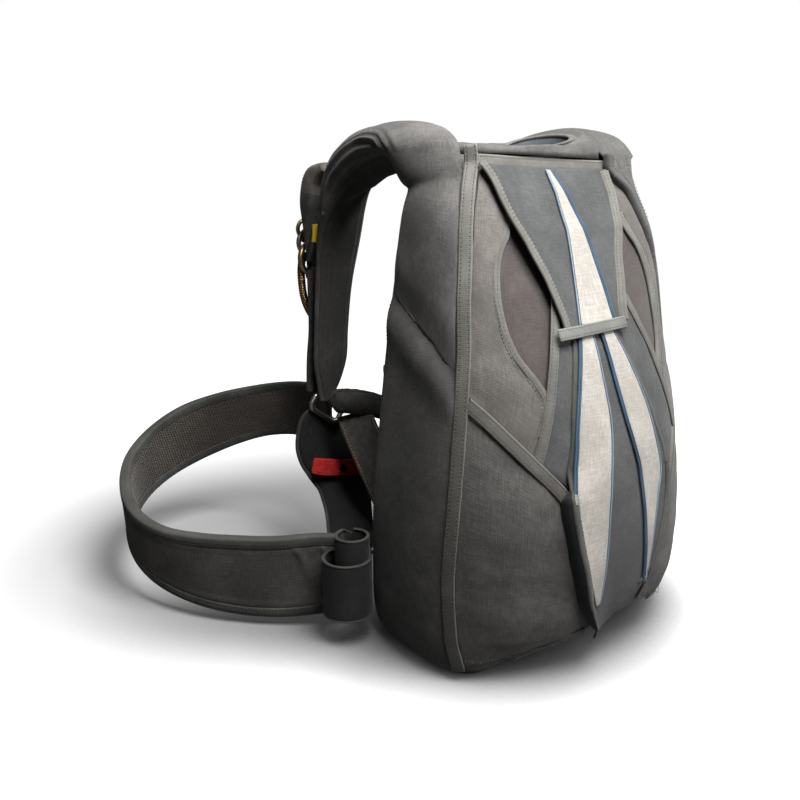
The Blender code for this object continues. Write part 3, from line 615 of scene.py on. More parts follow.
def stitches(name, rows, material="thread", pitch=None, size=1.0):
    # rows of sewn stitches; each row is a list of stations (point, sideways, up)
    pitch = pitch or stitchLooks["pitch"]
    shape = Matrix.Diagonal([stitchLooks[key] * size / 2 for key in ("length", "width", "height")] + [1])
    whole = bmesh.new()
    for stations in rows:
        mesh = bmesh.new()
        reach = 0.0
        nextAt = pitch * 0.5
        for (a, _, upA), (b, _, upB) in zip(stations, stations[1:]):
            step = (b - a).length
            while step and nextAt <= reach + step:
                share = (nextAt - reach) / step
                forward = (b - a) / step
                upward = upA.lerp(upB, share)
                sideways = upward.cross(forward).normalized()
                upward = forward.cross(sideways)
                turn = Matrix((forward, sideways, upward)).transposed().to_4x4()
                where = Matrix.Translation(a.lerp(b, share)) @ turn @ shape
                bmesh.ops.create_icosphere(mesh, subdivisions=1, radius=1.0, matrix=where)
                nextAt += pitch
            reach += step
        data = bpy.data.meshes.new("row")
        mesh.to_mesh(data)
        mesh.free()
        whole.from_mesh(data)
        bpy.data.meshes.remove(data)
    return makeObject(name, whole, material)


def shifted(stations, aside, up):
    return [(here + sideways * aside + upward * up, sideways, upward) for here, sideways, upward in stations]


def join(name, *objects):
    whole = bmesh.new()
    for obj in objects:
        whole.from_mesh(obj.data)
    materials = list(objects[0].data.materials)
    for obj in objects:
        bpy.data.objects.remove(obj)
    made = makeObject(name, whole)
    for material in materials:
        made.data.materials.append(material)
    return made


def keep(obj, slot, *nodes):
    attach(obj, "root")
    if nodes:
        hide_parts(*nodes)
    return obj


def flip(obj):  # over to the other side
    obj.data.transform(Matrix.Scale(-1, 4, (1, 0, 0)))
    obj.data.flip_normals()


def mirrored(obj):
    twin = obj.copy()
    twin.data = obj.data.copy()
    flip(twin)
    scene.collection.objects.link(twin)
    twin.name = obj.name + "Right"
    obj.name = obj.name + "Left"
    return twin


def keepPair(obj, slot, *nodes):
    twin = mirrored(obj)
    keep(obj, slot, *[node + "_left" for node in nodes])
    keep(twin, slot, *[node + "_right" for node in nodes])
    return obj, twin


def declareSheet(obj, flat, trim=()):
    area = min(obj["cutArea"], flat[0] * flat[1])
    del obj["cutArea"]
    list(trim)


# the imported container
packCover = {
    "around": 132,
    "levels": 66,
    "middle": (0.0, 0.018, 0.0),
    # height of each ring over the top and under the base, and its share of the way out to the rim
    "lid": ((0.4868, 0.0), (0.4868, 0.55), (0.4860, 0.90), (0.4835, 0.97)),
    "base": ((0.0, 0.5), (0.0, 0.0)),
    # the part with the taupe lining: behind this y, between two heights, within a half width
    "lined": (-0.03, 0.23, 0.47, 0.118),
    "sunk": 0.0004,
    "wrinkle": 0.0005,
    "wrinkleSize": 0.030,
    "fill": 0.9,
}


def makePackCover():
    last = packCover["levels"]
    lid = len(packCover["lid"])
    caps = dict(enumerate(packCover["lid"]))
    caps[last - 1], caps[last] = packCover["base"]
    middle = Vector(packCover["middle"])
    top = packRows[-1][0]

    def place(u, v):
        row = round(v * last)
        s = -5 + 10 * u
        if row in caps:
            height, shrink = caps[row]
            rim = packPoint(s, top if row < lid else 0.0)
            point = middle + (rim - middle) * shrink
            return Vector((point.x, point.y, height))
        z = top * (1 - (row - lid) / (last - lid - 2))
        spot = packPoint(s, z)
        lift = wrinkle(spot, packCover["wrinkleSize"], packCover["wrinkle"]) - packCover["sunk"]
        return spot + packNormal(s, z) * lift

    mesh, _ = gridMesh(packCover["around"], last, place, (0.95, 0.55))
    closeAndTurn(mesh)
    behind, low, high, half = packCover["lined"]
    for face in mesh.faces:
        spot = face.calc_center_median()
        inside = spot.y < behind and low < spot.z < high and abs(spot.x) < half
        face.material_index = 1 if inside else 0
    obj = makeObject("packCover", mesh, "pack", "taupe")
    keep(obj, "charcoal_cloth", "pack_body")


sidePanel = {
    "columns": 44,
    "rows": 92,
    "front": 3.7,  # how far round it reaches
    "top": 0.470,
    "bottom": 0.012,
    "crown": 0.0022,
    # where the shoulder strap's fold runs: how far round, and height
    "fold": ((-3.70, 0.362), (-3.10, 0.342), (-2.50, 0.320), (-2.00, 0.287)),
    "foldDepth": 0.0034,
    "foldWidth": 0.0065,
    "foldCrown": 0.0042,
    "wrinkle": 0.0016,
    "fullerEdge": 0.0055,
    # amounts round the pack, and the heights between which each sets in
    "seamReach": ((0.22, 0.36, 0.44), (0.20, 0.45, 0.478)),
    "tapeLean": ((0.04, 0.31, 0.37), (0.09, 0.36, 0.46)),
    "flat": (0.150, 0.470),
}


def fuller(z):  # how full the wearer's right shoulder is at this height
    return ramp(z, 0.310, packRows[-1][0])


def seamShift(z):  # how far the fuller shoulder reaches over the rear
    return sum(amount * ramp(z, low, high) for amount, low, high in sidePanel["seamReach"])


def tapeShift(z, full):  # how far the seam leans out towards the top
    lean = sum(amount * ramp(z, low, high) for amount, low, high in sidePanel["tapeLean"])
    return (1 - full) * lean - full * seamShift(z)


def foldHeight(s):
    points = sidePanel["fold"]
    for (a, za), (b, zb) in zip(points, points[1:]):
        if s <= b:
            return za + (zb - za) * (s - a) / (b - a)
    return points[-1][1]


def sidePlace(full):
    def place(u, v):
        s = sidePanel["front"] + (2 - sidePanel["front"]) * u
        z = sidePanel["top"] + (sidePanel["bottom"] - sidePanel["top"]) * v
        nearSeam = full * (1 - (s - 2) / (sidePanel["front"] - 2)) ** 2
        held = ramp(u, 1.0, 0.90) * ramp(v, 1.0, 0.93) * ramp(u, 0.0, 0.05)
        below = z - foldHeight(-s)
        relief = sidePanel["crown"] * math.sin(math.pi * min(1.0, u * 1.05)) ** 0.7
        relief += sidePanel["foldCrown"] * bell(below, -0.026, 0.019) * ramp(v, 0.0, 0.2)
        relief -= sidePanel["foldDepth"] * bell(below, 0.0, sidePanel["foldWidth"])
        spot = packPoint(-s, z)
        relief += wrinkle((spot.x, spot.y * 0.7, spot.z * 0.45), 0.035, sidePanel["wrinkle"])
        relief += wrinkle(spot, 0.011, sidePanel["wrinkle"] * 0.22)
        relief *= ramp(below, 0.010, -0.004)
        lift = layers["side"] + sidePanel["fullerEdge"] * fuller(z) * nearSeam + max(0.0, relief * held)
        return onPack(-s + seamShift(z) * nearSeam, z, lift)

    return place


def makeSidePanels():
    for name, full, node in (
        ("sidePanelLeft", 0.0, "side_panel_left"),
        ("sidePanelRight", 1.0, "side_panel_right"),
    ):
        place = sidePlace(full)
        obj = clothSheet(
            name, place, sidePanel["columns"], sidePanel["rows"], layers["cloth"], sidePanel["flat"], "side", 0
        )
        rim = edgeStations(place, "left", 60, 0.0035, layers["cloth"] / 2)
        bound = sweep(name + "Binding", rim, ovalProfile(0.009, 0.0034), "darkBinding")
        sewn = stitches(name + "Stitches", [shifted(rim, 0.0022, 0.0017)], "darkThread")
        if full:
            for piece in (obj, bound, sewn):
                flip(piece)
        keep(obj, "charcoal_cloth", node)
        keep(bound, "binding_tape")
        keep(sewn, "binding_tape")
        declareSheet(obj, sidePanel["flat"], trim=(bound, sewn))


def edgeStations(place, edge, count, inset, rise, low=0.0, high=1.0):
    # stations just inside one edge of a sheet, raised by rise, their sideways pointing into the sheet
    spots = {
        "left": lambda t, deep: place(deep, t),
        "right": lambda t, deep: place(1 - deep, t),
        "top": lambda t, deep: place(t, deep),
        "bottom": lambda t, deep: place(t, 1 - deep),
    }
    spot = spots[edge]
    stations = []
    for i in range(count + 1):
        share = low + (high - low) * i / count
        here, inner = spot(share, 0.0), spot(share, 0.05)
        forward = (spot(min(1, share + 0.01), 0.0) - spot(max(0, share - 0.01), 0.0)).normalized()
        sideways = inner - here
        sideways = (sideways - forward * sideways.dot(forward)).normalized()
        upward = forward.cross(sideways).normalized()
        if upward.dot(here - Vector((0, 0.02, here.z))) < 0:
            upward = -upward
        stations.append((here + sideways * inset + upward * rise, sideways, upward))
    return stations


rearPanels = {
    "crown": 0.0016,
    "wrinkle": 0.0013,
    "reserveFlat": (0.060, 0.225),
    "topFlapFlat": (0.075, 0.155),
    "lowerFlat": (0.125, 0.290),
}
# the edges and tapes on the rear, as x and height of the left one
reserveEdge = (
    (-0.084, 0.474), (-0.081, 0.455), (-0.080, 0.435), (-0.088, 0.415), (-0.1015, 0.398), (-0.110, 0.376),
    (-0.1125, 0.345), (-0.106, 0.312), (-0.091, 0.286), (-0.0855, 0.268), (-0.094, 0.243), (-0.106, 0.218),
)
uprightTape = (
    (-0.0510, 0.356), (-0.0630, 0.327), (-0.0760, 0.294), (-0.0860, 0.266), (-0.0970, 0.237), (-0.1050, 0.216),
)
diagonalTape = (
    (-0.1490, 0.2705), (-0.1455, 0.2655), (-0.1370, 0.2540), (-0.1250, 0.2375), (-0.1050, 0.2115),
    (-0.0885, 0.1910), (-0.0800, 0.1780),
)
bottomTape = ((-0.1110, 0.0215), (-0.0980, 0.0290), (-0.0760, 0.0395), (-0.0520, 0.0460))
topFlapEdge = ((-0.020, 0.324), (-0.028, 0.290), (-0.036, 0.265), (-0.049, 0.225), (-0.073, 0.185))
lowerEdge = ((-0.066, 0.170), (-0.056, 0.130), (-0.045, 0.090), (-0.030, 0.050))


def between(left, right, lift, crowd=1.0, crown=1.0):
    def place(u, v):
        share = 1 - (1 - v) ** crowd
        a, b = along(left, share), along(right, share)
        x, z = a[0] + (b[0] - a[0]) * u, a[1] + (b[1] - a[1]) * u
        held = ramp(u, 0.0, 0.12) * ramp(u, 1.0, 0.88) * ramp(v, 0.0, 0.06) * ramp(v, 1.0, 0.94)
        relief = rearPanels["crown"] * crown * (math.sin(math.pi * u) * math.sin(math.pi * v)) ** 0.5
        relief += wrinkle((x, 0.0, z), 0.028, rearPanels["wrinkle"]) + wrinkle((x, 0.5, z), 0.010, 0.0004)
        return onRear(x, z, lift + max(0.0, relief) * held)

    return place


def tapeBorder(high, low, inset, count=6):
    heights = [high + (low - high) * i / (count - 1) for i in range(count)]
    return [(-packLevel(z)[2] + inset, z) for z in heights]


def makeRearPanels():
    thick = layers["cloth"]
    outer = tapeBorder(0.474, 0.278, 0.001)
    place = between(outer, reserveEdge, layers["onPack"])
    panel = clothSheet("reservePanel", place, 22, 64, thick, rearPanels["reserveFlat"], "reserve")
    rim = edgeStations(place, "right", 70, 0.0030, thick / 2, 0.20, 0.93)
    bound = sweep("reserveBinding", rim, ovalProfile(0.0085, 0.0038), "binding")
    rows = [shifted(rim, 0.0008, 0.0019), shifted(rim, 0.0052, 0.0014)]
    sewn = stitches("reserveStitches", rows, "darkThread")
    panels = keepPair(panel, "charcoal_cloth", "reserve_panel")
    trims = zip(keepPair(bound, "binding_tape"), keepPair(sewn, "binding_tape"))
    for piece, trim in zip(panels, trims):
        declareSheet(piece, rearPanels["reserveFlat"], trim=trim)

    outer = [(x + 0.002, z) for x, z in uprightTape]
    place = between(outer, topFlapEdge, layers["onPack"])
    panel = clothSheet("topFlapPanel", place, 16, 40, thick, rearPanels["topFlapFlat"], "flap")
    for piece in keepPair(panel, "charcoal_cloth", "top_flap_panel"):
        declareSheet(piece, rearPanels["topFlapFlat"])

    outer = tapeBorder(0.262, 0.016, 0.001)
    place = between(outer, lowerEdge, layers["onPack"], 1.5, 1.6)
    panel = clothSheet("lowerPanel", place, 34, 68, thick, rearPanels["lowerFlat"], "pack")
    foot = edgeStations(place, "bottom", 50, 0.0050, thick + 0.0001, 0.02, 0.98)
    sewn = stitches("lowerPanelStitches", [foot, shifted(foot, 0.0035, 0.0001)], "darkThread")
    panels = keepPair(panel, "charcoal_cloth", "lower_panel")
    for piece, seam in zip(panels, keepPair(sewn, "binding_tape")):
        declareSheet(piece, rearPanels["lowerFlat"], trim=(seam,))


# the two long flaps: border rows of half width and height, lean rows of the middle's x and height
pinFlap = {
    "border": (
        (0.0900, 0.4740), (0.0870, 0.447), (0.0800, 0.423), (0.0705, 0.403),
        (0.0610, 0.381), (0.0530, 0.357), (0.0480, 0.338), (0.0460, 0.327),
    ),
    "lean": ((-0.013, 0.474), (-0.011, 0.440), (-0.007, 0.405), (-0.006, 0.370), (-0.010, 0.327)),
    "edgeLift": 0.0095,
    "leftPull": 0.0,
    "rightPull": 0.0,
    "footClimb": 0.0,
    "bindingWidth": 0.0115,
    "flat": (0.195, 0.165),
}
mainFlap = {
    "border": (
        (0.0300, 0.3255), (0.0430, 0.290), (0.0520, 0.265), (0.0620, 0.230), (0.0710, 0.205), (0.0775, 0.190),
        (0.0775, 0.172), (0.0740, 0.150), (0.0665, 0.116), (0.0565, 0.081), (0.0430, 0.056), (0.0300, 0.038),
    ),
    "lean": ((-0.012, 0.3255), (-0.012, 0.265), (-0.010, 0.200), (-0.013, 0.130), (-0.0145, 0.038)),
    "edgeLift": 0.0120,
    "rightLift": 0.0060,
    "leftPull": 0.0062,  # how far its edges are drawn in below the corner
    "rightPull": 0.0075,
    "footClimb": 0.030,  # how much higher the foot is at its right end
    "cornerRow": 5,  # the widest point of the flap
    "bindingWidth": 0.0100,
    # the turned-up edge below the corner: a strip on top, and on the left a wall that stands off the pack
    "finStrip": (
        (0.0040, 0.0018), (0.0020, 0.0026), (-0.0028, 0.0028),
        (-0.0048, 0.0016), (-0.0036, 0.0000), (0.0040, -0.0004),
    ),
    "finWall": (
        (-0.0034, 0.0016), (-0.0050, 0.0008), (-0.0058, -0.0040),
        (-0.0056, -0.0125), (-0.0036, -0.0125), (-0.0034, -0.0030),
    ),
    "finFoot": 0.945,
    "flat": (0.155, 0.320),
}
flapEdges = (("left", "Left"), ("right", "Right"))


def pinFlapLift(u):
    return layers["onPanel"] + (pinFlap["edgeLift"] - layers["onPanel"]) * abs(2 * u - 1) ** 3


def mainFlapLift(u, v):
    lower = max(0.0, min(1.0, (v - 0.35) / 0.15))
    lifted = mainFlap["edgeLift"] if u < 0.5 else mainFlap["rightLift"]
    return layers["onPanel"] + (lifted - layers["onPanel"]) * lower * abs(2 * u - 1) ** 3


def leanAt(flap, z):  # how far the flap's middle lies to the left
    rows = flap["lean"]
    for (a, za), (b, zb) in zip(rows, rows[1:]):
        if z >= zb:
            return a + (b - a) * max(0.0, (za - z) / (za - zb))
    return rows[-1][0]


def drawnIn(flap, v):  # how far the left and the right edge lie inside the border
    below = ramp(v, 0.33, 0.46)
    return flap["leftPull"] * below, flap["rightPull"] * below


def flapPlace(flap, liftAt, crown):
    def place(u, v):
        halfWidth, z = along(flap["border"], v)
        left, right = drawnIn(flap, v)
        x = (2 * u - 1) * halfWidth + left * (1 - u) - right * u
        z += flap["footClimb"] * ramp(v, 0.55, 1.0) * u ** 1.4
        free = max(0.0, abs(2 * u - 1) - 0.35) / 0.65
        relief = crown * free * math.sin(math.pi * u * 2) ** 2 + wrinkle((x, 0.3, z), 0.022, 0.0007 * free)
        return onRear(x + leanAt(flap, z), z, liftAt(u, v) + relief)

    return place


def cornerShare():
    return mainFlap["cornerRow"] / (len(mainFlap["border"]) - 1)


def makePinFlap():
    thick = layers["cloth"]
    place = flapPlace(pinFlap, lambda u, v: pinFlapLift(u), 0.0006)
    flap = clothSheet("pinFlap", place, 34, 44, thick, pinFlap["flat"], "flap")
    keep(flap, "charcoal_cloth", "pin_flap")
    trims = []
    width = pinFlap["bindingWidth"]
    for edge, tail in flapEdges:
        rim = edgeStations(place, edge, 56, width / 2 - 0.0008, thick / 2, 0.02, 0.99)
        bound = sweep("pinFlapBinding" + tail, rim, ovalProfile(width, 0.0040), "binding")
        rows = [shifted(rim, aside, 0.0020) for aside in (-0.0012, 0.0030)]
        sewn = stitches("pinFlapStitches" + tail, rows, "darkThread")
        trims += [keep(bound, "binding_tape"), keep(sewn, "binding_tape")]
    declareSheet(flap, pinFlap["flat"], trim=trims)


def makeMainFlap():
    thick = layers["cloth"]
    place = flapPlace(mainFlap, mainFlapLift, 0.0004)
    flap = clothSheet("mainFlap", place, 36, 84, thick, mainFlap["flat"], "flap")
    keep(flap, "charcoal_cloth", "main_flap")
    trims = []
    for edge, tail in flapEdges:
        rim = edgeStations(place, edge, 40, 0.0020, thick / 2, 0.0, cornerShare())
        bound = sweep("mainFlapBinding" + tail, rim, ovalProfile(0.0060, 0.0034), "darkBinding")
        rows = [shifted(rim, aside, 0.0016) for aside in (0.0010, 0.0045)]
        sewn = stitches("mainFlapStitches" + tail, rows, "darkThread")
        trims += [keep(bound, "binding_tape"), keep(sewn, "binding_tape")]
    declareSheet(flap, mainFlap["flat"], trim=trims)
    makeFins(place)


def makeFins(place):
    inset, rise = mainFlap["bindingWidth"] / 2 - 0.0035, layers["cloth"] / 2 + 0.0016
    for edge, tail in flapEdges:
        fin = edgeStations(place, edge, 64, inset, rise, cornerShare() - 0.012, mainFlap["finFoot"])
        tapered = []
        for i, (here, sideways, upward) in enumerate(fin):
            share = i / (len(fin) - 1)
            swell = 0.15 + 0.85 * min(1.0, share / 0.08, (1 - share) / 0.40) ** 0.7
            tapered.append((here, sideways * swell, upward * (swell if edge == "left" else 0.6)))
        if edge == "left":
            bound = sweep("finBinding" + tail, tapered, mainFlap["finStrip"], "darkBinding")
            # painted shade: the wall is near-black cloth for the shade on the fin's left side
            keep(sweep("finWall", tapered, mainFlap["finWall"], "shade"), "dark_cloth")
        else:
            bound = sweep("finBinding" + tail, tapered, ovalProfile(0.0075, 0.0030, 14), "darkBinding")
        rows = [shifted(fin, aside, 0.0027) for aside in (-0.0014, 0.0024)]
        sewn = stitches("finStitches" + tail, rows, "darkThread")
        keep(bound, "binding_tape", "main_flap_edge_" + edge)
        keep(sewn, "binding_tape")
        if edge == "left":
            bars = [shifted(fin[3:9], a, 0.0029) for a in (-0.0016, -0.0006, 0.0004, 0.0014)]
            keep(stitches("finBarTack", bars, "thread", pitch=0.0011), "binding_tape")


inlays = {
    "finTop": 0.1830,  # the outer piping on the left ends here, where the fin starts
    # half width, height and middle
    "upper": (
        (0.0012, 0.4705, -0.0100), (0.0070, 0.440, -0.0050), (0.0125, 0.405, -0.0010),
        (0.0190, 0.363, -0.0030), (0.0240, 0.329, -0.0070),
    ),
    # height, then how far out its outer and inner edge run
    "lowerLeft": (
        (0.3235, 0.0220, 0.0080), (0.2900, 0.0350, 0.0095), (0.2650, 0.0445, 0.0110), (0.2430, 0.0525, 0.0130),
        (0.2230, 0.0575, 0.0170), (0.1980, 0.0640, 0.0225), (0.1850, 0.0668, 0.0240), (0.1580, 0.0655, 0.0280),
        (0.1200, 0.0575, 0.0315), (0.0950, 0.0485, 0.0340), (0.0780, 0.0410, 0.0360),
    ),
    "lowerRight": (
        (0.3235, 0.0220, 0.0080), (0.2900, 0.0350, 0.0095), (0.2650, 0.0430, 0.0110), (0.2430, 0.0480, 0.0130),
        (0.2230, 0.0510, 0.0170), (0.1980, 0.0540, 0.0225), (0.1850, 0.0535, 0.0240), (0.1580, 0.0465, 0.0280),
        (0.1200, 0.0395, 0.0315), (0.0950, 0.0370, 0.0340), (0.0780, 0.0366, 0.0360),
    ),
    "pipingRadius": 0.0011,
    "beside": 0.0022,  # how far a cord's middle lies from the inlay's edge
    "lineBeside": 0.0012,
    "sewnIn": 0.0022,
}


def onMainFlap(x, z, extra):
    low, high = 0.0, 1.0
    for _ in range(16):
        middle = (low + high) / 2
        if along(mainFlap["border"], middle)[1] > z:
            low = middle
        else:
            high = middle
    halfWidth, (left, right) = along(mainFlap["border"], low)[0], drawnIn(mainFlap, low)
    u = (x + halfWidth - left) / (2 * halfWidth - left - right)
    s = rearShare(x + leanAt(mainFlap, z), z)
    upward = packNormal(s, z)
    lift = mainFlapLift(max(0.0, min(1.0, u)), low) + layers["cloth"] + extra
    return packPoint(s, z) + upward * lift, upward


def openStations(spots):
    # stations through (point, upward) pairs
    stations = []
    for i, (here, upward) in enumerate(spots):
        forward = (spots[min(len(spots) - 1, i + 1)][0] - spots[max(0, i - 1)][0]).normalized()
        sideways = upward.cross(forward).normalized()
        stations.append((here, sideways, upward))
    return stations


def inlayRow(side, share):
    return along(inlays["lowerLeft" if side < 0 else "lowerRight"], share)


def twinCords(name, stations):
    radius = inlays["pipingRadius"]
    cords = [
        sweep("cord", shifted(stations, aside, 0), roundProfile(radius, 8), "blue")
        for aside in (-radius * 1.1, radius * 1.1)
    ]
    return join(name, *cords)


def makeInlays():
    lift = layers["gap"]
    base = pinFlapLift(0.5) + layers["cloth"]

    def upper(u, v):
        halfWidth, z, middle = along(inlays["upper"], v)
        return onRear(middle + (2 * u - 1) * halfWidth, z, base + lift + 0.0006 * math.sin(math.pi * u) ** 0.5)

    strip = clothSheet("upperInlay", upper, 10, 40, layers["tape"], (0.03, 0.145), "pale")
    keep(strip, "pale_cloth", "upper_inlay")

    def lower(side):
        def place(u, v):
            z, outer, inner = inlayRow(side, v)
            reach = outer + (inner - outer) * (u if side < 0 else 1 - u)
            return onMainFlap(side * reach, z, lift + 0.0005 * math.sin(math.pi * u) ** 0.5)[0]

        return place

    for side, tail, node in ((-1, "Left", "lower_inlay_left"), (1, "Right", "lower_inlay_right")):
        strip = clothSheet("lowerInlay" + tail, lower(side), 10, 64, layers["tape"], (0.04, 0.26), "pale")
        keep(strip, "pale_cloth", node)

    radius, beside = inlays["pipingRadius"], inlays["beside"]
    for side, node in ((-1, "upper_piping_left"), (1, "upper_piping_right")):
        spots = []
        for i in range(41):
            w, z, middle = along(inlays["upper"], i / 40)
            s = rearShare(middle + side * (w + beside), z)
            spots.append((onPack(s, z, base + lift + radius), packNormal(s, z)))
        stations = openStations(spots)
        if side < 0:
            line = sweep("upperPipingLeft", stations, roundProfile(radius * 0.8, 8), "paleBlue")
        else:
            line = twinCords("upperPipingRight", stations)
        keep(line, "blue_piping", node)
    # side, which edge (1 outer, 2 inner) and how much further out than it
    for name, side, column, away, node in (
        ("outerPipingLeft", -1, 1, beside, "outer_piping_left"),
        ("innerPipingRight", 1, 2, -beside, "inner_piping_right"),
        ("innerLineLeft", -1, 2, -inlays["lineBeside"], None),
        ("outerLineRight", 1, 1, inlays["lineBeside"], None),
    ):
        spots = []
        for i in range(61):
            row = inlayRow(side, i / 60)
            if name != "outerPipingLeft" or row[0] > inlays["finTop"]:
                spots.append(onMainFlap(side * (row[column] + away), row[0], lift + radius))
        stations = openStations(spots)
        if node:
            keep(twinCords(name, stations), "blue_piping", node)
        else:
            keep(sweep(name, stations, roundProfile(radius * 0.7, 8), "paleBlue"), "blue_piping")
    edges = []
    inset = inlays["sewnIn"]
    for side, column, away in ((-1, 1, -inset), (-1, 2, inset), (1, 1, -inset), (1, 2, inset)):
        spots = []
        for i in range(61):
            row = inlayRow(side, i / 60 * 0.85)
            spots.append(onMainFlap(side * (row[column] + away), row[0], lift + layers["tape"] + 0.0001))
        edges.append(openStations(spots))
    keep(stitches("inlayStitches", edges, "thread", pitch=0.0034, size=0.8), "pale_cloth")


tapes = {
    "topEnd": (-0.1130, -0.0212, 0.493),  # of the left side tape, over the yoke
    "sideWidth": 0.0125,
    "sideWidthRight": 0.010,
    "trimWidth": 0.0100,
    "bottomWidth": 0.008,
    "topBandWidth": 0.012,
    "keeperWidth": 0.0115,
    "thick": 0.0014,
    "rightSink": 0.0060,  # how deep the right side tape is sewn into the fuller shoulder
    # x and height of the left end, length and climb
    "topBand": (-0.1045, 0.4795, 0.186, 0.0),
    "keeperBand": (-0.066, 0.3225, 0.096, 0.004),
}


def sideTapeStations(full, count=150):
    topZ = tapes["topEnd"][2]

    def spot(z):
        s = -2 - tapeShift(z, full)
        upward = packNormal(s, z)
        lift = layers["onPanel"] + 0.0006 + sidePanel["fullerEdge"] * full * fuller(z)
        return packPoint(s, z) + upward * lift, upward

    leaving = (Vector(tapes["topEnd"]) - spot(topZ)[0]) * (1 - full)  # over the yoke it leaves the pack
    spots = []
    for i in range(count + 1):
        z = topZ + (0.014 - topZ) * i / count
        here, upward = spot(z)
        spots.append((here + leaving * max(0.0, (z - 0.440) / (topZ - 0.440)) ** 1.6, upward))
    return openStations(spots)


def straightRoute(x, z, length, climb):
    return [(x + length * i / 8, z + climb * i / 8) for i in range(9)]


def makeTape(name, stations, width, node, pair=True, thick=None, material="binding"):
    thick = thick or tapes["thick"]
    tape = sweep(name, stations, tapeProfile(width, thick), material)
    offset = width * 0.30
    rows = [shifted(stations, a, thick - 0.00015) for a in (-offset, offset)]
    sewn = stitches(name + "Stitches", rows, "darkThread")
    if pair:
        keepPair(tape, "binding_tape", node)
        keepPair(sewn, "binding_tape")
    else:
        keep(tape, "binding_tape", node)
        keep(sewn, "binding_tape")


def makeTapes():
    makeTape("sideTapeLeft", sideTapeStations(0.0), tapes["sideWidth"], "side_tape_left", False)
    stations = sideTapeStations(1.0)
    flipped = Matrix.Scale(-1, 4, (1, 0, 0))
    stations = [(flipped @ a, -(flipped @ b), flipped @ c) for a, b, c in stations]
    sunk = tapes["rightSink"]
    stations, width = shifted(stations, 0, -sunk), tapes["sideWidthRight"]
    makeTape("sideTapeRight", stations, width, "side_tape_right", False, tapes["thick"] + sunk, "side")
    lift = layers["onPanel"]
    upright = [(0.0400, 0.3860)] + [(-x, z) for x, z in uprightTape]
    diagonal = [(-x, z) for x, z in diagonalTape] + [(0.0640, 0.1530), (0.0480, 0.1290)]
    # the right diagonal tape is sunk too, since its flat back would stand off the corner
    for name, node, route, rise, width, deep in (
        ("uprightTapeLeft", "upright_tape_left", uprightTape, lift, tapes["trimWidth"], 0.0),
        ("uprightTapeRight", "upright_tape_right", upright, lift, tapes["trimWidth"], 0.0),
        ("diagonalTapeLeft", "diagonal_tape_left", diagonalTape, lift + 0.0005, tapes["sideWidth"], 0.0),
        ("diagonalTapeRight", "diagonal_tape_right", diagonal, lift + 0.0005, tapes["sideWidth"], sunk / 2),
    ):
        makeTape(name, surfaceStations(route, rise - deep, 52), width, node, False, tapes["thick"] + deep)
    makeTape("bottomTape", surfaceStations(bottomTape, lift, 40), tapes["bottomWidth"], "bottom_tape")
    stations = surfaceStations(straightRoute(*tapes["topBand"]), layers["onPack"], 60)
    makeTape("topBand", stations, tapes["topBandWidth"], "top_band", False)
    over = lift + layers["cloth"] + tapes["thick"] + 3 * layers["gap"]
    stations = surfaceStations(straightRoute(*tapes["keeperBand"]), over + 0.001, 48)
    makeTape("keeperBand", stations, tapes["keeperWidth"], "keeper_band", False, material="paleBand")


